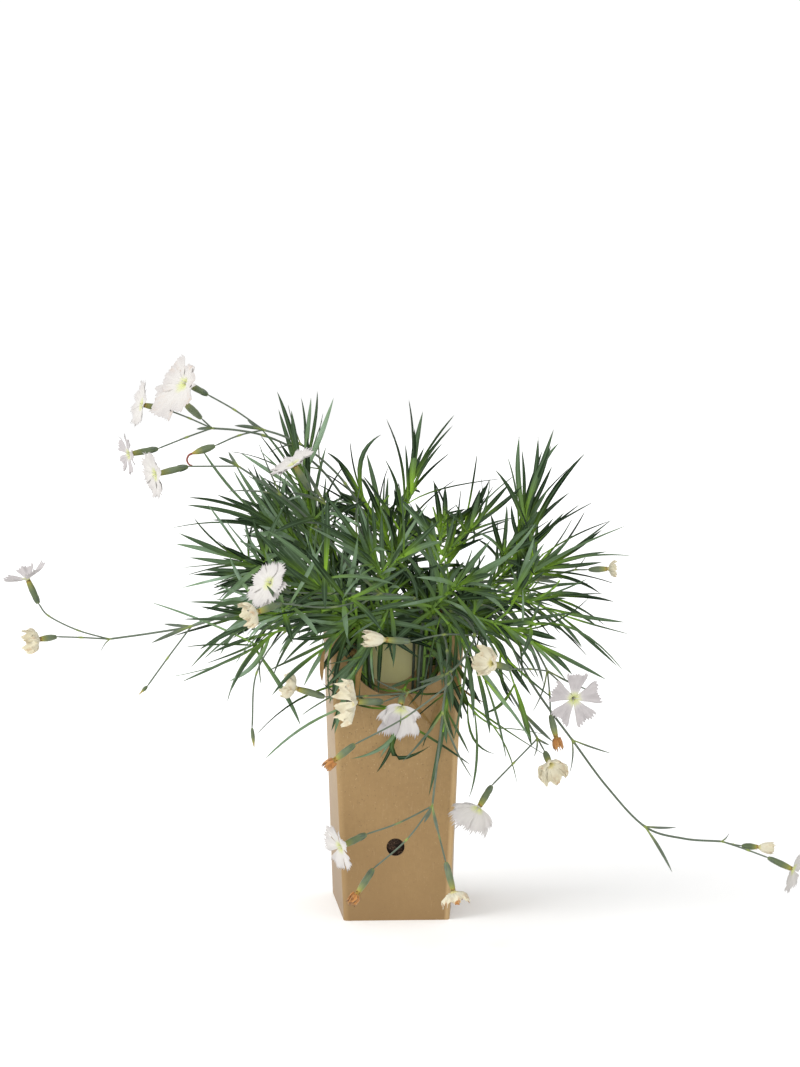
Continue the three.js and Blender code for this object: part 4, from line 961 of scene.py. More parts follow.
def fill_spot(i, number, spot):
    """Of some draws, the stem gets the leaf that is worth most to the crown and has room, if there is one."""
    drawn = []
    for n in range(DRAWS):
        seed = ADDED_SEED + (i * SPOT_SEEDS + number) * DRAWS + n
        drawn.append(added_leaf(stream(seed), n / DRAWS, spot))
    for leaf in sorted(drawn, key=crown.worth, reverse=True):
        if crown.worth(leaf) < LEAST_WORTH:
            return
        if has_room(first_leafy + i, leaf, SLIM, ADDED_SPACE):
            leafy_leaves[i].append(leaf)
            crown.add(leaf)
            return


crown = Crown()
for leaves in leafy_leaves + placed_leaves:
    for leaf in leaves:
        crown.add(leaf)
for i in sorted(range(len(leafy)), key=lambda i: leafy[i][0].line[2][1]):  # from front to back
    for number, spot in enumerate(spots_of(i)):
        fill_spot(i, number, spot)

# ---- Skins: closed shells collected into one mesh, and the rings and values that they are made of ----

FOLD_ANGLE = math.radians(25)  # edges sharper than this aren't smoothed on board and paper


def placed(name, data):
    """A new object in the scene."""
    thing = bpy.data.objects.new(name, data)
    bpy.context.scene.collection.objects.link(thing)
    return thing


class Skin:
    """Closed shells with a few values at each point, which the materials read by name."""

    def __init__(self, *names):
        self.names = names
        self.points, self.faces, self.values, self.crease, self.count = [], [], [], [], 0

    def add(self, points, faces, values=None, crease=None):
        """faces: arrays of corners. They are turned round where the shell would be inside out."""
        volume = 0
        for group in faces:
            for k in range(1, group.shape[1] - 1):
                a, b, c = points[group[:, 0]], points[group[:, k]], points[group[:, k + 1]]
                volume += (a * np.cross(b, c)).sum()
        turn = -1 if volume < 0 else 1
        self.points.append(points)
        self.values.append(np.zeros((len(points), 0)) if values is None else values)
        self.crease.append(np.zeros(len(points), int) if crease is None else crease)
        self.faces += [group[:, ::turn] + self.count for group in faces]
        self.count += len(points)

    def mesh(self, name):
        points = np.concatenate(self.points) * MM
        totals = np.concatenate([np.full(len(group), group.shape[1]) for group in self.faces])
        corners = np.concatenate([group.ravel() for group in self.faces])
        mesh = bpy.data.meshes.new(name)
        mesh.vertices.add(len(points))
        mesh.vertices.foreach_set("co", points.ravel())
        mesh.loops.add(len(corners))
        mesh.loops.foreach_set("vertex_index", corners)
        mesh.polygons.add(len(totals))
        mesh.polygons.foreach_set("loop_start", np.concatenate([[0], np.cumsum(totals)[:-1]]))
        mesh.polygons.foreach_set("use_smooth", np.ones(len(totals), bool))
        mesh.update(calc_edges=True)
        values = np.concatenate(self.values)
        for k, value in enumerate(self.names):
            mesh.attributes.new(value, "FLOAT", "POINT").data.foreach_set("value", values[:, k].copy())
        crease = np.concatenate(self.crease)
        if crease.any():
            ends = np.zeros(len(mesh.edges) * 2, int)
            mesh.edges.foreach_get("vertices", ends)
            a, b = crease[ends[::2]], crease[ends[1::2]]
            sharp = (a == b) & (a > 0)
            mesh.attributes.new("sharp_edge", "BOOLEAN", "EDGE").data.foreach_set("value", sharp)
        if mesh.validate():
            print("mended", name)
        return mesh

    def piece(self, name, material, slot, *nodes):
        """A piece of the body with its material; the slot that is given is not used. It replaces the nodes,
        if any are given.
        """
        piece = placed(name, self.mesh(name))
        piece.data.materials.append(material)
        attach(piece, "root")
        if nodes:
            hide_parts(*nodes)
        return piece


def ring_faces(rings, sides, pointed=False):
    """The faces of a skin over rings of points, closed at both ends. A pointed end is one more point."""
    k = np.arange(sides)
    after = (k + 1) % sides
    starts = sides * np.arange(rings - 1)[:, None]
    quads = np.stack([starts + k, starts + after, starts + sides + after, starts + sides + k], 2)
    faces = [quads.reshape(-1, 4), k[::-1][None, :]]
    last = (rings - 1) * sides
    if pointed:
        faces.append(np.stack([last + k, last + after, np.full(sides, last + sides)], 1))
    else:
        faces.append((last + k)[None, :])
    return faces


def plain_skin(rings, tip=None):
    """A skin without values over rings of points. Its last end may be a tip."""
    skin = Skin()
    points = np.concatenate(rings if tip is None else [*rings, [tip]])
    skin.add(points, ring_faces(len(rings), len(rings[0]), tip is not None))
    return skin


def angles_round(sides):
    return np.arange(sides) / sides * 2 * math.pi


def circle(angles, first, second, radii=1):
    """Points at angles from the first direction towards the second."""
    return np.outer(radii * np.cos(angles), first) + np.outer(radii * np.sin(angles), second)


def round_points(line, radii, sides):
    """Rings of points round a line."""
    angles = angles_round(sides)
    parts = zip(line, radii, frames_of(line))
    return np.concatenate([p + r * circle(angles, first, second) for p, r, (_, first, second) in parts])


def rows_of(*values):
    """A row of values for each point. A value that is the same for all of them may be one number."""
    return np.stack(np.broadcast_arrays(*values), 1).astype(float)


def smoothed(points, spacing):
    total = sum(length_of(b - a) for a, b in zip(points, points[1:]))
    count = max(math.ceil(total / spacing), 3)
    return [on_curve(points, i / count) for i in range(count + 1)]


# ---- Blades ----

BLADE_SHARES = np.array([0, 0.05, 0.13, 0.24, 0.37, 0.5, 0.63, 0.75, 0.86, 0.94])
BLADE_SIDES = 6
BLADE_FACES = ring_faces(len(BLADE_SHARES), BLADE_SIDES, pointed=True)
BLADE_CREASE = np.array([1, 0, 2, 0, 0, 0] * len(BLADE_SHARES) + [0])
KEEL = 0.13  # of the width
EDGE_LIFT = 0.3  # of the half width


def add_blade(skin, leaf, sway, twist, values_at):
    """A shallow V with a keel, a little twisted and wavy. values_at: from along and across to values."""
    points = []
    for t, share in zip(BLADE_SHARES, blade_width(BLADE_SHARES)):
        side, under = square_to(unit(leaf.start * (1 - t) + leaf.end * t), leaf.side)
        side, under = turned(side, under, twist * t * t), turned(under, -side, twist * t * t)
        centre = leaf_point(leaf, t) + leaf.side * (sway * leaf.length * math.sin(math.pi * t))
        half = side * (leaf.width / 2 * share)
        lift = EDGE_LIFT * length_of(half) * (1.5 - t)
        keel = KEEL * leaf.width * (1 - 0.5 * t) + 0.12
        edge, shoulder = under * -lift, under * (keel * 0.75 - lift * 0.5)
        points += [centre - half + edge, centre, centre + half + edge,
                   centre + half * 0.5 + shoulder, centre + under * keel, centre - half * 0.5 + shoulder]
    points.append(leaf_point(leaf, 1))
    along = np.append(np.repeat(BLADE_SHARES, BLADE_SIDES), 1)
    across = np.append(np.tile([1, 0, 1, 0.5, 0, 0.5], len(BLADE_SHARES)), 0)
    skin.add(np.array(points), BLADE_FACES, values_at(along, across), BLADE_CREASE)


def add_leaf(skin, leaf, random, tone, fresh, green_from, dry):
    """A leaf of a leafy stem, pale green from its base up to a share of its length."""
    sway, twist = (random() - 0.5) * 0.06, (random() - 0.5) * 1.1

    def values_at(along, across):
        return rows_of(tone, np.clip(fresh * (1 - along / green_from), 0, 1) ** 1.3, dry, across, along)

    add_blade(skin, leaf, sway, twist, values_at)


def add_scale(skin, leaf, tone, node=0.35):
    """A small leaf or bract on a flower stem."""

    def values_at(along, across):
        return rows_of(tone, node * np.clip(1 - along / 0.4, 0, 1), 0, 0)

    add_blade(skin, leaf, 0, 0, values_at)


# ---- Stems ----

STEM_SIDES = 8
NODE_SWELL, NODE_LENGTH = 0.45, 1.5


def add_stem(skin, line, radii, joints, values_at, spacing=3.0):
    """A round stem on a smooth curve, swollen at its joints. values_at: from nearness to them to values."""
    curve = smoothed(line, spacing)
    shares = np.linspace(0, len(line) - 1, len(curve))
    thick = np.interp(shares, range(len(radii)), radii)
    near = np.zeros(len(curve))
    for joint in joints:
        far = np.array([length_of(p - joint) for p in curve])
        near = np.maximum(near, np.exp(-((far / NODE_LENGTH) ** 2)))
    thick = thick * (1 + NODE_SWELL * near)
    thick[-1] *= 0.6
    points = round_points(curve, thick, STEM_SIDES)
    values = np.repeat(values_at(near), STEM_SIDES, 0)
    skin.add(points, ring_faces(len(curve), STEM_SIDES), values)


def leafy_values(near):
    return rows_of(0.5, 0.4 + 0.6 * near, 0, 0, 0.3)


LEAF_VALUES = ("tone", "fresh", "dry", "across", "along")
LEAFY_SEED, TRUNK_SPACING, SHOOT_SPACING = 777, 6, 2.5
DRY_CHANCE, DRY_BELOW, DRY_LENGTH = 0.3, 236, 40  # low, short leaves that have withered, mm

# How waxy and how fresh the leaves are on each side of the plant, from least to most.
SIDES = {
    "left": ((0.05, 1), (0.2, 0.9)),
    "front": ((0, 0.76), (0.3, 1)),
    "centre": ((0, 0.66), (0.5, 1.3)),
    "right": ((-0.05, 0.68), (0.4, 1.2)),
    "back": ((0.1, 0.85), (0.5, 1.3)),
}
NEARER, MIDDLE_SHADE = 0.2, 0.32  # leaves towards the front are lighter and those towards the back darker, and those in the middle of the plant darker as painted shade
# How far towards the front and back the tone changes, and the width, height and rise of the painted shade in
# the middle of the plant.
DEPTH_RANGE, SHADE_WIDE, SHADE_HEIGHT, SHADE_RISE = 100, 60, 255, 50
YOUNG, YOUNG_BELOW, YOUNG_FRESH = "right_front", 200, (0.2, 0.9)  # the pale shoot at the right corner
GREEN_FROM, YOUNG_GREEN_FROM = 0.55, 1.1  # a leaf is pale up to this share of its length


def shaded(tone, x, y, z):
    """The tone of a leaf at a place: lighter towards the front, and darker in the middle of the plant as
    painted shade.
    """
    inside = (x / SHADE_WIDE) ** 2 + (y / SHADE_WIDE) ** 2 + ((z - SHADE_HEIGHT) / SHADE_RISE) ** 2
    tone -= max(min(y / DEPTH_RANGE, 1), -1) * NEARER
    tone -= MIDDLE_SHADE * math.exp(-inside)
    return min(max(tone, 0), 1.1)


def build_leafy(i):
    name = LEAFY_STEMS[i].name
    waxy, side_fresh = SIDES[name.split("_")[0]]
    trunk, stems = leafy[i]
    skin = Skin(*LEAF_VALUES)
    random = stream(LEAFY_SEED + i)
    add_stem(skin, trunk.line, trunk.radii, trunk.line[1:], leafy_values, TRUNK_SPACING)
    for stem in [*stems, *(extra[0] for extra in added_stems[i])]:
        add_stem(skin, stem.line, stem.radii, stem.line[1:], leafy_values, SHOOT_SPACING)
    may_dry = len(leafy_leaves[i])
    for k, leaf in enumerate([*leafy_leaves[i], *placed_leaves[i]]):
        low = k < may_dry and leaf.base[2] < DRY_BELOW and leaf.length < DRY_LENGTH
        dry = low and random() < DRY_CHANCE
        young = name == YOUNG and leaf.base[2] < YOUNG_BELOW
        fresh = mix(*(YOUNG_FRESH if young else side_fresh), random())
        tone = shaded(mix(*waxy, random()), *leaf_point(leaf, 0.6))
        add_leaf(skin, leaf, random, tone, fresh, YOUNG_GREEN_FROM if young else GREEN_FROM, dry)
    skin.piece(f"leaves_{name}", LEAF, "leaf", f"leafy_stem_{name}")


def add_thread(skin, points, spacing, ends, sides, values):
    """A thin, round thread on a smooth curve, with the radii of its ends."""
    curve = smoothed(points, spacing)
    count = len(curve)
    skin_points = round_points(curve, np.linspace(*ends, count), sides)
    skin.add(skin_points, ring_faces(count, sides), np.tile(values, (count * sides, 1)))


# ---- Calyxes and buds ----

CALYX_SIDES = 20
# The calyx of a bloom and of a bud: the share of its length and the radius.
CALYX_FORM = [(0, 0.65), (0.05, 1.25), (0.14, 1.9), (0.32, 2.45), (0.6, 2.7), (0.82, 2.4), (1, 2.0)]
BUD_FORM = [(0, 0.65), (0.05, 1.3), (0.14, 2.1), (0.32, 2.9), (0.6, 3.1), (0.85, 2.4), (1, 1.6)]
BUD_POINT = [(0.45, 0.95), (0.85, 0.35)]  # its petals' tips beyond that, in shares of BUD_TIP
BUD_TIP, TOOTH, MOUTH_DEPTH = 4.5, 2.0, 0.8
STALK_VALUES = ("tone", "node", "tip", "rib")
RIB = 0.03
STALK_SEED, RED_TONE = 333, 2  # tones above 1 turn red-brown


def add_calyx(skin, head, tone):
    """A ribbed tube with five teeth at its mouth, or closed to a point on a bud, and bracts at its base."""
    opening, first, second = head_axes(head)
    slim = 0.5 if head.kind == "tip" else 1
    closed = head.kind not in PETALS
    tooth = 1 - np.abs(np.arange(CALYX_SIDES) % 4 - 2) / 2
    angles = angles_round(CALYX_SIDES)
    form = BUD_FORM if closed else CALYX_FORM
    rows = [(share * head.length, radius * slim, 0.0) for share, radius in form]
    if closed:
        rows += [(head.length + BUD_TIP * share, radius * slim, 0.0) for share, radius in BUD_POINT]
    else:
        rows += [(head.length, 2.0, TOOTH), (head.length - MOUTH_DEPTH, 1.5, 0.0)]
    points, values = [], []
    for height, radius, teeth in rows:
        ring = vec(head.base) + circle(angles, first, second, radius * (1 + RIB * np.cos(10 * angles)))
        points.append(ring + np.outer(height + teeth * tooth, opening))
        share = height / head.length
        tip = np.clip((share - 0.72) / 0.25, 0, 1) + 0.2 * (teeth > 0)
        values.append(rows_of(tone, max(0.16, 0.5 - 5 * share), tip, 0.5 + 0.5 * np.cos(10 * angles)))
    skin.add(np.concatenate(points), ring_faces(len(rows), CALYX_SIDES), np.concatenate(values))
    for n in range(4):
        away = turned(first, second, n / 4 * 2 * math.pi + 0.4)
        base = vec(head.base) + away * (1.1 * slim) + opening * 0.3
        start, end = unit(opening + away * 0.5), unit(opening - away * 0.08)
        bract = Leaf(base, start, end, unit(np.cross(away, opening)), 0.34 * head.length, 2.0 * slim)
        add_scale(skin, bract, tone)


HOOKED = ("high_left", "bud")  # a bud with a withered style at its tip
HOOK = [(0, 0), (3.5, -0.5), (5, -4), (3, -8), (0.5, -9.5)]  # along the bud and upwards, from near its tip


def add_hook(skin, head):
    opening, _, _ = head_axes(head)
    tip = vec(head.base) + opening * (head.length + BUD_TIP * 0.4)
    line = [tip + opening * along + UP * up for along, up in HOOK]
    add_thread(skin, line, 1.5, (0.9, 0.6), STEM_SIDES, [RED_TONE, 0, 0, 0.5])


def stalk_values(near):
    return rows_of(0.5, near, 0, 0.5)


def build_flowering(i):
    stem = FLOWER_STEMS[i]
    main, joints, branches = flowering[i]
    skin = Skin(*STALK_VALUES)
    random = stream(STALK_SEED + i)
    nodes = [main.line[at] for at in joints]
    add_stem(skin, main.line, main.radii, nodes, stalk_values)
    for head, line in zip(stem.heads, branches):
        add_stem(skin, line, [BRANCH_RADIUS] * len(line), [line[0], *line[1:-1]], stalk_values)
        add_calyx(skin, head, random())
        if (stem.name, head.kind) == HOOKED:
            add_hook(skin, head)
    for leaf in flowering_leaves[i]:
        add_scale(skin, leaf, random(), 0.9)
    skin.piece(f"stalks_{stem.name}", STALK, "flower_stem", f"flower_stem_{stem.name}")


# ---- Petals ----

PETAL_ROWS = np.array([0, 0.07, 0.15, 0.27, 0.42, 0.58, 0.72, 0.84])
CLAW = 0.7  # how far from the bloom's middle the petals begin
PETAL_VALUES = ("reach", "stain", "rib", "tone")
PETAL_SEED, HEAD_SEEDS = 555, 20

# How petals are finished: teeth of the fringe and their depth, thickness, curl of the rim inwards, crumple,
# share of brown, half angle in degrees, how far the outline falls back at the sides and the tips draw
# together, how grey they are, and their size next to others of their kind.
FINISH_FIELDS = "teeth depth thick curl crumple stain spread round gather grey size"
Finish = namedtuple("Finish", FINISH_FIELDS, defaults=[1])
FINISHES = {
    "fresh": Finish(15, 0.14, 0.22, -0.05, 0.03, 0.0, 35, 0.08, 0, 0),
    "full": Finish(15, 0.17, 0.22, -0.05, 0.06, 0.0, 50, 0.05, 0, 0),
    "broad": Finish(13, 0.06, 0.25, -0.06, 0.07, 0.3, 48, 0.04, 0, 0.1),
    "parted": Finish(8, 0.09, 0.22, -0.06, 0.06, 0.0, 27, -0.14, 0, 1, 0.88),
    "wedged": Finish(11, 0.12, 0.22, -0.03, 0.02, 0.0, 25, -0.16, 0, 0.5, 0.79),
    "fanned": Finish(13, 0.15, 0.22, -0.04, 0.03, 0.0, 31, 0.06, 0, 0),
    "fading": Finish(7, 0.02, 0.35, 0.22, 0.09, 0.6, 46, 0.2, 0.12, 0),
    "spotted": Finish(7, 0.08, 0.35, 0.15, 0.15, 2.0, 44, 0.16, 0.08, 0),
    "closed": Finish(7, 0.03, 0.35, 0.15, 0.13, 0.7, 52, 0.08, 0.22, 0),
    "lobed": Finish(7, 0.02, 0.35, 0.05, 0.08, 0.5, 33, 0.14, 0, 0, 1.18),
    "dried": Finish(5, 0.05, 0.5, 0.35, 0.75, 1.6, 60, 0.12, 0.5, 0, 0.85),
}
# Blooms that are finished unlike the rest of their kind.
FINISHED_AS = {
    "high_left": "broad",
    "upper_left": "full",
    "left_arm": "full",
    "front_left_pair_1": "full",
    "far_left_1": "parted",
    "far_high_left_2": "parted",
    "right_triple_2": "parted",
    "front_across_3": "wedged",
    "right_pair_2": "fanned",
    "front_hanging_1": "fanned",
    "front_hanging_3": "spotted",
    "front_across_4": "closed",
    "far_right_2": "closed",
    "front_across_1": "lobed",
}
# Blooms whose petals hang longer to one side: how much, towards which angle, and how far they are drawn
# together to it.
LOPSIDED = {
    "high_left": (0.45, 1.4, 0),
    "front_across_3": (0.38, 0.1, 0.5),
    "right_pair_2": (0.3, 0.1, 0.3),
    "front_left_pair_1": (0.2, 2.4, 0),
}


def petal_faces(rows, teeth):
    """Both faces of a fringed petal and the band round its edge. Its columns run across and its rows out."""
    columns = 2 * teeth + 1
    at = np.arange(rows * columns).reshape(rows, columns)
    tips = rows * columns + np.arange(teeth)
    count = rows * columns + teeth
    quads = np.stack([at[:-1, :-1], at[:-1, 1:], at[1:, 1:], at[1:, :-1]], 2).reshape(-1, 4)
    low, valley, high = at[-1, :-1:2], at[-1, 1::2], at[-1, 2::2]
    triangles = np.stack([low, valley, tips, valley, high, tips], 1).reshape(-1, 3)
    fringe = np.stack([tips, low], 1)[::-1].ravel()
    rim = np.concatenate([at[0], at[1:, -1], fringe, at[-2:0:-1, 0]])
    after = np.roll(rim, -1)
    band = np.stack([after, rim, rim + count, after + count], 1)
    return [quads, triangles, quads[:, ::-1] + count, triangles[:, ::-1] + count, band]


PETAL_FACES = {name: petal_faces(len(PETAL_ROWS), finish.teeth) for name, finish in FINISHES.items()}


def petal_normals(top, columns, opening):
    """The normals of a petal's upper points, its tips last."""
    grid = top[: len(PETAL_ROWS) * columns].reshape(len(PETAL_ROWS), columns, 3)
    normal = np.cross(np.gradient(grid, axis=1), np.gradient(grid, axis=0))
    normal /= np.linalg.norm(normal, axis=2, keepdims=True) + 1e-9
    normals = np.concatenate([normal.reshape(-1, 3), normal[-1, 1::2]])
    return -normals if (normals @ opening).sum() < 0 else normals


def add_petal(skin, head, finished_as, lopsided, k, turn, random):
    """The petal with the number k of a bloom that is turned by an angle."""
    kind = PETALS[head.kind]
    finish = FINISHES[finished_as]
    longer, longest, drawn = lopsided
    away = (turn + 2 * math.pi / PETAL_COUNT * k - longest + math.pi) % (2 * math.pi) - math.pi
    radius = kind.radius * head.size * finish.size * (1 + longer * math.cos(away))
    opening, first, second = head_axes(head)
    mouth = vec(head.base) + opening * (head.length + GAP)
    columns = 2 * finish.teeth + 1
    side = np.linspace(-1, 1, columns)
    skew, lean, fold = (random() - 0.5) * 0.3, (random() - 0.5) * 0.2, random() * 6

    def place(side, reach):
        """Points at shares of the half angle and of the radius."""
        halves = [40, 36, finish.spread, finish.spread, finish.spread - 4]
        spread = np.radians(np.interp(reach, [0, 0.12, 0.4, 0.85, 1], halves))
        angle = longest + away * (1 - drawn * reach) + side * spread + lean * reach
        wave = kind.wave * np.sin(2.3 * k + 1.9 * (3 + 2.75 * side) + turn)
        ripple = np.sin(9 * side + fold) * np.sin(7 * reach + 2 * fold)
        crumple = finish.crumple * (ripple + np.sin(21 * side + fold) * 0.15)
        lift = radius * (kind.rise * reach**2 + wave * reach**2 + skew * 0.3 * side * reach + crumple * reach)
        lift += radius * drawn * 0.06 * (2 * k % 5) * reach  # petals that are drawn together lie in layers
        lift += radius * finish.curl * reach**4 * (0.8 + 0.35 * np.cos(2 * side + fold))
        lift += np.interp(reach, [0, 0.07, 0.2], [0, 0.7, 1]) * BLOOM_NECK
        inward = (1 - 0.35 * abs(finish.curl) * reach**3) * (1 - finish.gather * reach**2)
        out = CLAW + (radius * (1 - finish.round * side**2) - CLAW) * reach * inward
        out = out * (1 + finish.crumple * 0.6 * np.sin(5 * side + 3 * fold))
        return mouth + circle(angle, first, second, out) + np.outer(lift, opening)

    def uneven(count):
        return np.array([random() - 0.5 for _ in range(count)])

    valley = 1 - finish.depth
    reaches = [np.full(columns, share / PETAL_ROWS[-1] * valley) for share in PETAL_ROWS]
    reaches[-1] = reaches[-1] * (1 + 0.05 * uneven(columns))
    tip_side = side[1::2] + uneven(finish.teeth) * 0.9 / finish.teeth
    tip_reach = 1 + finish.depth * 0.7 * uneven(finish.teeth)
    reach = np.concatenate([*reaches, tip_reach])
    side = np.concatenate([np.tile(side, len(PETAL_ROWS)), tip_side])
    top = place(side, reach)
    thick = finish.thick * np.where(reach > valley * 1.02, 0.5, 1)
    bottom = top - petal_normals(top, columns, opening) * thick[:, None]
    stain = finish.stain * np.clip((reach - 0.45) * 2, 0, 1) * (0.5 + 0.5 * np.sin(5 * side + fold))
    values = rows_of(reach, stain, 0.5 + 0.5 * np.cos(16 * side), random() + finish.grey)
    skin.add(np.concatenate([top, bottom]), PETAL_FACES[finished_as], np.concatenate([values, values]))


STYLE_SHARES = (0, 0.35, 0.7, 1)


def add_styles(skin, head, turn):
    """Two white styles that curl out of the throat."""
    opening, first, second = head_axes(head)
    mouth = vec(head.base) + opening * (head.length - 0.5)
    for half in (0, 1):
        away = turned(first, second, turn + half * math.pi * 0.8)
        line = [mouth + away * (0.3 + 2.6 * t**1.5) + opening * (9.5 * t - 3.2 * t * t) for t in STYLE_SHARES]
        add_thread(skin, line, 1.2, (0.35, 0.2), 5, [0.45, 0, 0, 0])


def build_blooms(i):
    name = FLOWER_STEMS[i].name
    blooms = [head for head in FLOWER_STEMS[i].heads if head.kind in PETALS]
    for b, head in enumerate(blooms):
        look = PETALS[head.kind].look
        turn = i + 0.7 * b
        skin = Skin(*PETAL_VALUES)
        random = stream(PETAL_SEED + HEAD_SEEDS * i + b)
        bloom = f"{name}_{b + 1}" if len(blooms) > 1 else name
        finished_as = FINISHED_AS.get(bloom, look)
        lopsided = LOPSIDED.get(bloom, (0, 0, 0))
        for k in range(PETAL_COUNT):
            add_petal(skin, head, finished_as, lopsided, k, turn, random)
        if look == "fresh":
            add_styles(skin, head, turn)
        skin.piece(f"petals_{bloom}", PETAL_LOOKS[look], f"petal_{look}", f"bloom_{bloom}")


# ---- Materials ----


def shade(text):
    """The linear colour of an sRGB one, written as six hexadecimal digits."""
    parts = [int(text[k : k + 2], 16) / 255 for k in (0, 2, 4)]
    return [p / 12.92 if p <= 0.04045 else ((p + 0.055) / 1.055) ** 2.4 for p in parts] + [1]


class Finishing:
    """One material's nodes, with a method for each kind that is used here."""

    def __init__(self, name, roughness, **constants):
        self.material = bpy.data.materials.new(name)
        self.material.use_nodes = True
        self.tree = self.material.node_tree
        self.shader = self.tree.nodes["Principled BSDF"]
        self.shader.inputs["Roughness"].default_value = roughness
        for socket, value in constants.items():
            self.shader.inputs[socket.replace("_", " ")].default_value = value
        self.place = self.add("ShaderNodeTexCoord", "Object")

    def put(self, socket, value):
        """Links a socket to another one, or sets it to a value. A text is a colour."""
        if isinstance(value, bpy.types.NodeSocket):
            self.tree.links.new(value, socket)
        else:
            socket.default_value = shade(value) if isinstance(value, str) else value

    def add(self, kind, output, inputs=(), **settings):
        """A new node's output. inputs: a value for each socket by its name or number."""
        node = self.tree.nodes.new(kind)
        for key, value in settings.items():
            setattr(node, key, value)
        for socket, value in dict(inputs).items():
            self.put(node.inputs[socket], value)
        return node.outputs[output]

    def value(self, name):
        return self.add("ShaderNodeAttribute", "Fac", attribute_type="GEOMETRY", attribute_name=name)

    def noise(self, scale, detail=2.0, roughness=0.5, where=None, distortion=0.0):
        inputs = {"Scale": scale, "Detail": detail, "Roughness": roughness, "Distortion": distortion}
        return self.add("ShaderNodeTexNoise", "Fac", {**inputs, "Vector": where or self.place})

    def cells(self, scale, where):
        return self.add("ShaderNodeTexVoronoi", "Distance", {"Scale": scale, "Vector": where})

    def stretched(self, x, y, z, turn=(0, 0, 0)):
        """The place on the object, turned and then stretched."""
        inputs = {"Vector": self.place, "Rotation": turn, "Scale": (x, y, z)}
        return self.add("ShaderNodeMapping", "Vector", inputs)

    def spread(self, value, low, high, new_low=0.0, new_high=1.0):
        """A value between low and high, brought between two new ones."""
        inputs = {"Value": value, "From Min": low, "From Max": high, "To Min": new_low, "To Max": new_high}
        return self.add("ShaderNodeMapRange", "Result", inputs)

    def sum(self, a, b):
        return self.add("ShaderNodeMath", "Value", {0: a, 1: b}, operation="ADD")

    def product(self, a, b):
        return self.add("ShaderNodeMath", "Value", {0: a, 1: b}, operation="MULTIPLY")

    def mix(self, share, a, b):
        return self.add("ShaderNodeMix", 2, {0: share, 6: a, 7: b}, data_type="RGBA")

    def bump(self, height, distance, strength=1.0):
        inputs = {"Height": height, "Distance": distance, "Strength": strength}
        self.put(self.shader.inputs["Normal"], self.add("ShaderNodeBump", "Normal", inputs))

    def start(self, share, a, b):
        """The base colour starts as a mix of two."""
        self.colour = self.mix(share, a, b)

    def tint(self, share, colour):
        """A share of the base colour gives way to another one."""
        self.colour = self.mix(share, self.colour, colour)

    def finished(self):
        self.put(self.shader.inputs["Base Color"], self.colour)
        return self.material


def kraft_material(name, base, pale, dark):
    """Kraft board: cloudy patches, a few hairs, light and dark specks, darker towards the foot, and a painted
    highlight along the folds.
    """
    f = Finishing(name, 0.62, Specular_IOR_Level=0.5, Sheen_Weight=0.15, Sheen_Roughness=0.4)
    clouds = f.noise(12, 3, 0.6)
    mottle = f.noise(260, 4, 0.7)
    f.start(f.spread(clouds, 0.3, 0.7, 0.0, 0.6), base, pale)
    f.tint(f.spread(mottle, 0.4, 0.7, 0, 0.35), dark)
    for turn, colour, share in (((0.2, 0.6, 0.3), dark, 0.5), ((0.1, -0.9, 0.2), "b9a27c", 0.3)):
        hairs = f.noise(1, 2, 0.5, f.stretched(900, 900, 110, turn), 1.2)
        f.tint(f.spread(hairs, 0.64, 0.72, 0, share), colour)
    for size, turn, rarity, colour, share in ((330, 0, 0.52, "5c4226", 0.6), (380, 1, 0.5, "cdb98c", 0.25)):
        specks = f.spread(f.cells(size, f.stretched(1, 1, 1, (turn, 0, 0))), 0.12, 0.2, 1, 0)
        patches = f.noise(size * 0.4, 1, 0.5, f.stretched(1, 1, 1, (0, turn, 1)))
        rare = f.spread(patches, rarity, rarity + 0.04)
        f.tint(f.product(f.product(specks, rare), share), colour)
    # Darker towards the foot.
    height = f.add("ShaderNodeSeparateXYZ", "Z", {0: f.place})
    foot_darkening = f.sum(height, f.spread(clouds, 0, 1, -0.05, 0.05))
    f.tint(f.spread(foot_darkening, 0.0, 0.14, 0.9, 0), dark)
    # Lighter along the folds, most at the right-hand ones: a painted highlight.
    f.tint(f.product(f.value("fold"), 0.4), "c9ab7c")
    f.bump(mottle, 0.00015, 0.5)
    return f.finished()


def pot_material():
    f = Finishing("pot_plastic", 0.6, Specular_IOR_Level=0.15)
    dust = f.spread(f.noise(60, 4, 0.65, None, 0.8), 0.42, 0.75)
    curls = f.spread(f.noise(420, 3, 0.6, None, 3.0), 0.54, 0.59)
    f.start(f.product(dust, 0.5), "1a0f08", "573f2b")
    f.tint(f.product(f.product(curls, dust), 0.8), "b08c76")
    f.bump(f.noise(500, 2), 0.0002, 0.4)
    return f.finished()


def soil_material():
    f = Finishing("potting_soil", 0.95, Specular_IOR_Level=0.2)
    lumps = f.noise(240, 5, 0.7)
    f.start(f.spread(lumps, 0.3, 0.7), "1b120d", "4c3626")
    fibre = f.spread(f.noise(1, 3, 0.6, f.stretched(150, 900, 500, (0.3, 0.2, 0.9)), 1.0), 0.62, 0.7)
    f.tint(f.product(fibre, 0.5), "8a6b49")
    f.bump(lumps, 0.0012, 0.8)
    return f.finished()


def label_material():
    f = Finishing("label_paper", 0.6, Specular_IOR_Level=0.35)
    f.start(f.spread(f.noise(40, 3), 0.3, 0.7), "f4eda6", "faf4b4")
    f.bump(f.noise(900, 2), 0.00005, 0.4)
    return f.finished()


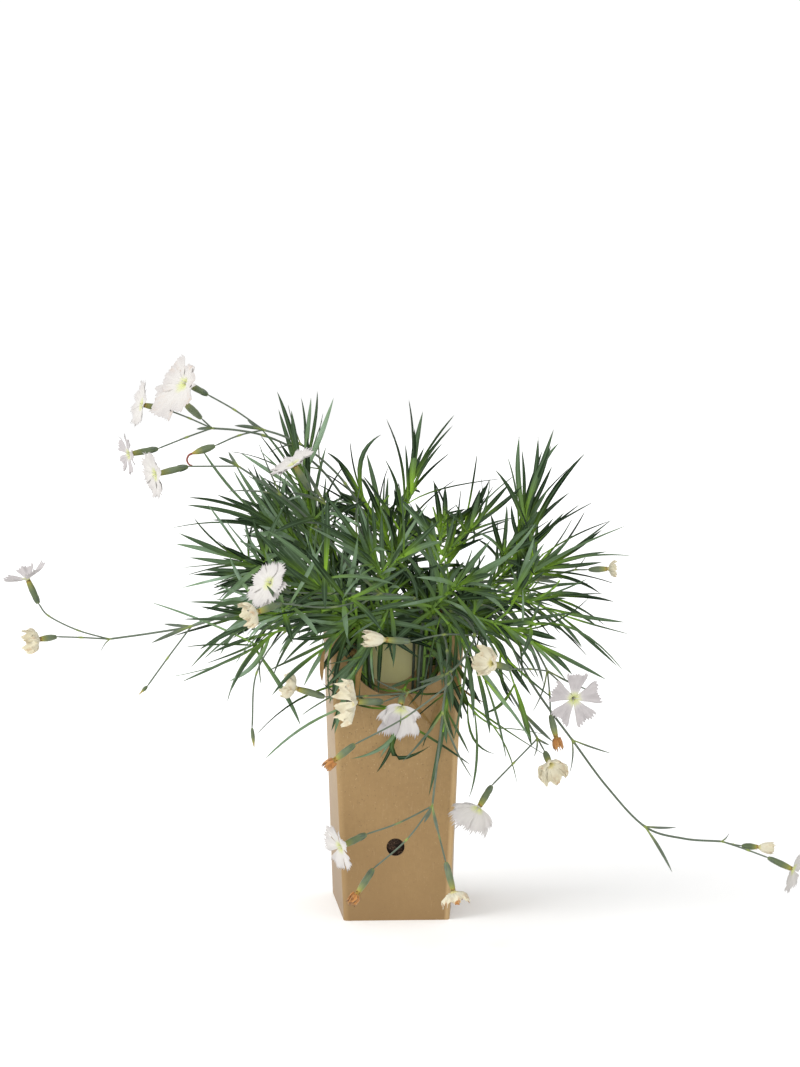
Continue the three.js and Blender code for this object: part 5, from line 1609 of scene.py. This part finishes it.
def leaf_material():
    """Blue-green leaves with a waxy bloom, fresher towards the base, and straw where they are dry."""
    f = Finishing("pink_leaf", 0.5)
    tone, fresh, dry, across, along = map(f.value, LEAF_VALUES)
    tone = f.add("ShaderNodeMath", "Value", {0: tone, 1: 1.5}, operation="POWER")
    f.put(f.shader.inputs["Specular IOR Level"], f.spread(tone, 0.2, 1, 0.03, 0.3))
    f.start(f.spread(tone, 0.04, 1), "091a05", "637d58")
    wax = f.product(f.spread(f.noise(60, 3, 0.6), 0.35, 0.7), f.spread(tone, 0.6, 1, 0.05, 0.8))
    f.tint(wax, "94a998")
    f.tint(f.spread(across, 0, 0.3, 0.22, 0), "7f9c78")
    f.tint(fresh, "81a832")
    f.tint(f.spread(along, 0.9, 1, 0, 0.4), "4a5a38")
    f.tint(dry, f.mix(f.noise(200, 2), "6e5430", "94794c"))
    f.bump(f.noise(1, 2, 0.5, f.stretched(700, 700, 120)), 0.00012, 0.5)
    return f.finished()


def stalk_material():
    """Flower stems and calyxes: grey-green, yellow-green at the joints, olive and ochre at the mouth."""
    f = Finishing("pink_stalk", 0.5, Specular_IOR_Level=0.35, Sheen_Weight=0.08)
    tone, node, tip, rib = map(f.value, STALK_VALUES)
    f.start(tone, "3a4835", "5a6452")
    f.tint(f.spread(rib, 0, 1, 0.35, 0), "3a4c38")
    f.tint(f.spread(f.noise(120, 3, 0.6), 0.4, 0.8, 0, 0.35), "767f75")
    f.tint(f.product(node, 0.75), "8a9a3c")
    f.tint(f.spread(tip, 0, 0.8, 0, 0.9), "85853a")
    f.tint(f.spread(tip, 0.85, 1.2, 0, 0.8), "a8782f")
    f.tint(f.spread(tone, 1.1, RED_TONE), "7a3420")
    f.bump(f.noise(600, 2), 0.00006, 0.5)
    return f.finished()


def petal_material(name, roughness, face, throat, edge, brown):
    """A papery petal with a coloured throat, an edge of another colour and, where it has faded, brown spots.
    On white petals the grey edge is painted shade; on cream and brown ones the edge is their own colour.
    """
    f = Finishing(name, roughness, Specular_IOR_Level=0.25, Sheen_Weight=0.15)
    reach, stain, rib, tone = map(f.value, PETAL_VALUES)
    f.start(f.spread(reach, 0.1, 0.3, 1, 0), face, throat)
    # Towards the rim the colour turns to the edge colour: on white petals a painted grey shade.
    f.tint(f.spread(reach, 0.5, 1.05, 0, 0.6), edge)
    f.tint(f.product(rib, 0.12), edge)
    grey = f.product(f.spread(tone, 1, 1.1, 0, 0.8), f.spread(reach, 0.2, 0.4))
    f.tint(f.sum(f.spread(tone, 0, 1, 0, 0.15), grey), edge)
    spots = f.spread(f.noise(260, 3, 0.6), 0.45, 0.65)
    f.tint(f.product(spots, stain), brown)
    f.bump(f.noise(1, 2, 0.5, f.stretched(500, 500, 500)), 0.00015, 0.5)
    return f.finished()


def floor_material():
    f = Finishing("pale_floor", 0.8, Specular_IOR_Level=0.1)
    f.start(f.noise(3, 2), "fbfbfb", "fdfdfd")
    return f.finished()


KRAFT = kraft_material("kraft_board", "907244", "9b7f50", "795d34")
# The inside is the same board, painted much lighter than the outside as painted light where it lies in shade.
KRAFT_INNER_LIGHTENED = kraft_material("kraft_inner", "d4b474", "dec084", "b4935a")
KRAFT_CUT = kraft_material("kraft_cut_edge", "8d6a42", "a5814f", "5f4426")
LEAF, STALK = leaf_material(), stalk_material()
PETAL_LOOKS = {
    "fresh": petal_material("petal_white", 0.7, "bfbcb7", "bcc27c", "a8a3a3", "b98f5e"),
    "fading": petal_material("petal_cream", 0.75, "cac5b1", "b9b070", "c6bd9f", "9a6a38"),
    "dried": petal_material("petal_brown", 0.85, "a8703c", "94782f", "b08650", "5e3418"),
}

# ---- Carton, pot, soil and label ----

BOW = 0.5  # how far a panel bulges
CARTON_ROWS, PANEL_STEPS, CORNER_STEPS = 24, 10, 6
CUT_SIDES = 96


def section_ring(section, corner, z, steps, panel=1, bow=0.0):
    """A ring of points round a section, its corners rounded and its panels bulged a little."""
    front, back, depth = section
    corners = [(front, -depth, -90), (back, depth, 0), (-back, depth, 90), (-front, -depth, 180)]
    arcs = []
    for x, y, start in corners:
        cx, cy = x - math.copysign(corner, x), y - math.copysign(corner, y)
        angles = np.radians(start + 90 * np.arange(steps + 1) / steps)
        arcs.append(rows_of(cx + corner * np.cos(angles), cy + corner * np.sin(angles), z))
    ring = []
    for k, arc in enumerate(arcs):
        ring.append(arc)
        a, b = arc[-1], arcs[(k + 1) % 4][0]
        out = unit(np.cross(b - a, UP))
        for n in range(1, panel):
            share = (1 - math.cos(math.pi * n / panel)) / 2  # closer together next to the folds
            ring.append((a + (b - a) * share + out * (bow * math.sin(math.pi * share)))[None, :])
    return np.concatenate(ring)


def shell(name, rings):
    return placed(name, plain_skin(rings).mesh(name))


def carton_rings(inset, low, high):
    rings = []
    for z in np.linspace(low, high, CARTON_ROWS + 1):
        bow = BOW * math.sin(math.pi * min(max(z / CARTON_HEIGHT, 0), 1))
        corner = CARTON_CORNER - inset / 2
        rings.append(section_ring(section_at(z, inset), corner, z, CORNER_STEPS, PANEL_STEPS, bow))
    return rings


def cutter_rings(x, z, half_x, half_z):
    """A rod of oval section through the front wall."""
    angles = angles_round(CUT_SIDES)
    ring = rows_of(x + half_x * np.cos(angles), 0, z + half_z * np.sin(angles))
    return [ring + [0, y, 0] for y in (-CARTON_FOOT[2] + 10, -CARTON_RIM[2] - 10)]


def cut(board, tools):
    """Takes the tools away from the board, and leaves the result as its mesh."""
    for tool in tools:
        modifier = board.modifiers.new("cut", "BOOLEAN")
        modifier.operation, modifier.object, modifier.solver = "DIFFERENCE", tool, "EXACT"
    graph = bpy.context.evaluated_depsgraph_get()
    board.data = bpy.data.meshes.new_from_object(board.evaluated_get(graph))
    board.modifiers.clear()
    for tool in tools:
        bpy.data.objects.remove(tool)


def side_of_board(face):
    """The number of a face's material: 0 outside, 1 on a cut edge and 2 inside."""
    x, y, z = face.center / MM
    near_scoop = y < -CARTON_FOOT[2] + 5 and abs(x) < SCOOP_HALF + 1
    on_top = face.normal.z > 0.7 and z > CARTON_HEIGHT - 1
    if on_top or near_scoop and abs(face.normal.y) < 0.5 and z > CARTON_WALL + 5:
        return 1
    return 2 if z > CARTON_WALL - 0.1 and face.normal.dot(Vector((x, y, 0))) < 0 else 0


def fold_highlight(place):
    """How much painted highlight the board has at a point: along its folds, most at the right-hand ones."""
    x, y, z = place / MM
    front, back, depth = section_at(z)
    half = front if y < 0 else back
    at_fold = depth - abs(y) < CARTON_CORNER + 0.5 and half - abs(x) < CARTON_CORNER + 0.5
    return at_fold * (1 if x > 0 else 0.25)


def build_carton():
    """The folded sleeve: outer less inner form, less the scoop and the vent."""
    carton = shell("carton_board", carton_rings(0, 0, CARTON_HEIGHT))
    cut(carton, [
        shell("inside", carton_rings(CARTON_WALL, CARTON_WALL, CARTON_HEIGHT + 10)),
        shell("scoop", cutter_rings(0, CARTON_HEIGHT, SCOOP_HALF, SCOOP_DEEP)),
        shell("vent", cutter_rings(VENT_X, VENT_HEIGHT, VENT_RADIUS, VENT_RADIUS)),
    ])
    mesh = carton.data
    mesh.polygons.foreach_set("use_smooth", np.ones(len(mesh.polygons), bool))
    mesh.set_sharp_from_angle(angle=FOLD_ANGLE)
    mesh.materials.clear()
    for material in (KRAFT, KRAFT_CUT, KRAFT_INNER_LIGHTENED):
        mesh.materials.append(material)
    for face in mesh.polygons:
        face.material_index = side_of_board(face)
    # Where the folds get their painted highlight.
    fold = mesh.attributes.new("fold", "FLOAT", "POINT")
    for point, mark in zip(mesh.vertices, fold.data):
        mark.value = fold_highlight(point.co)
    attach(carton, "root")
    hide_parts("carton")


SEAM_X, SEAM_HALF, SEAM_THICK, SEAM_BEVEL, SEAM_LOW, SEAM_ROWS = 24, 11, 0.6, 0.3, 3, 24


def build_seam():
    """The glued flap up the back."""
    left, right = SEAM_X - SEAM_HALF, SEAM_X + SEAM_HALF
    rings = []
    for z in np.linspace(SEAM_LOW, CARTON_HEIGHT - 1, SEAM_ROWS):
        depth = section_at(z)[2] + BOW * math.sin(math.pi * z / CARTON_HEIGHT)
        inner, outer = depth - SEAM_THICK, depth + SEAM_THICK
        corners = (left, inner), (right, inner), (right - SEAM_BEVEL, outer), (left + SEAM_BEVEL, outer)
        rings.append(vec([(x, y, z) for x, y in corners]))
    seam = plain_skin(rings).piece("carton_seam", KRAFT, "kraft_carton")
    seam.data.set_sharp_from_angle(angle=FOLD_ANGLE)


SOIL_ROWS, SOIL_CORNER_STEPS, SOIL_PANEL_STEPS = 26, 8, 12


def soil_ring(z, share=1):
    """A ring of the soil at a height, which is a share of what fits in the pot."""
    half = mix(POT_FOOT, POT_RIM, z / POT_HEIGHT) - POT_WALL - 2 * GAP
    corner = (POT_CORNER - POT_WALL) * share
    return section_ring([half * share] * 3, corner, z, SOIL_CORNER_STEPS, SOIL_PANEL_STEPS)


def build_soil():
    """Crumbly soil that fills the pot to a little below its lip."""
    floor = CARTON_WALL + GAP + POT_WALL + GAP
    rings = [soil_ring(z) for z in (floor, SOIL_TOP / 2, SOIL_TOP - 3)]
    for k in range(1, SOIL_ROWS):
        share = 1 - k / SOIL_ROWS
        level = soil_ring(SOIL_TOP - 2 + 2 * (1 - share), share)
        for p in level:
            p[2] += 2.2 * noise.noise(Vector(p) * 0.14) + 1.1 * noise.noise(Vector(p) * 0.5)
        rings.append(level)
    plain_skin(rings, (0, 0, SOIL_TOP)).piece("soil_mound", soil_material(), "soil", "soil")


LABEL_SIDES, LABEL_BEVEL = 72, 0.15


def build_label():
    """A plain round label on the inside of the back wall."""
    lean = math.atan2(CARTON_RIM[2] - CARTON_FOOT[2], CARTON_HEIGHT)
    facing = vec([0, -math.cos(lean), math.sin(lean)])
    across = vec([1, 0, 0])
    flat = circle(angles_round(LABEL_SIDES), across, np.cross(facing, across))
    back = section_at(LABEL_HEIGHT, CARTON_WALL)[2] - GAP + BOW
    centre = vec([LABEL_X, back, LABEL_HEIGHT])
    radii = LABEL_RADIUS, LABEL_RADIUS, LABEL_RADIUS - LABEL_BEVEL
    depths = 0, LABEL_THICK - LABEL_BEVEL, LABEL_THICK
    rings = [centre + radius * flat + facing * deep for radius, deep in zip(radii, depths)]
    label = plain_skin(rings).piece("label_disc", label_material(), "label", "label")
    label.data.set_sharp_from_angle(angle=FOLD_ANGLE)


build_carton()
build_seam()
build_soil()
build_label()
pot_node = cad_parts["pot"]
pot_node.data.materials.clear()
pot_node.data.materials.append(pot_material())
for i in range(len(LEAFY_STEMS)):
    build_leafy(i)
for i in range(len(FLOWER_STEMS)):
    build_flowering(i)
    build_blooms(i)

# ---- Floor, light and camera ----

FLOOR_HALF = 9
CAMERA_TURN, CAMERA_PITCH = -2.3, 5.1  # degrees
FOCAL_PIXELS, IMAGE_HEIGHT, SENSOR = 2042, 1067, 36  # the photograph's focal length and long side, in pixels


def build_floor():
    mesh = bpy.data.meshes.new("floor")
    corners = [(-1, -1), (1, -1), (1, 1), (-1, 1)]
    mesh.from_pydata([(x * FLOOR_HALF, y * FLOOR_HALF, 0) for x, y in corners], [], [(0, 1, 2, 3)])
    mesh.materials.append(floor_material())
    placed("floor", mesh)


def build_lamp(name, come_from, spread, strength):
    """A broad, far lamp, so that the floor is lit evenly."""
    light = bpy.data.lights.new(name, "SUN")
    light.angle, light.energy = math.radians(spread), strength
    placed(name, light).rotation_euler = (-Vector(come_from)).to_track_quat("-Z", "Y").to_euler()


def build_world(strength):
    world = bpy.data.worlds.new("studio")
    world.use_nodes = True
    background = world.node_tree.nodes["Background"]
    background.inputs["Color"].default_value = (1, 1, 1, 1)
    background.inputs["Strength"].default_value = strength
    bpy.context.scene.world = world


def build_camera():
    data = bpy.data.cameras.new("camera")
    data.sensor_width = SENSOR
    data.lens = FOCAL_PIXELS / IMAGE_HEIGHT * SENSOR
    camera = placed("camera", data)
    turn, pitch = math.radians(CAMERA_TURN), math.radians(CAMERA_PITCH)
    looking = Vector((-math.sin(turn) * math.cos(pitch), math.cos(turn) * math.cos(pitch), -math.sin(pitch)))
    camera.location = CAMERA_PLACE
    camera.rotation_euler = looking.to_track_quat("-Z", "Y").to_euler()
    bpy.context.scene.camera = camera


build_floor()
build_world(0.83)
build_lamp("key", (-0.78, -0.24, 0.62), 36, 1.3)
build_lamp("fill", (-0.04, -1, 0.15), 24, 0.95)
build_camera()
view = bpy.context.scene.view_settings
view.view_transform, view.look, view.exposure = "Standard", "None", 0.3
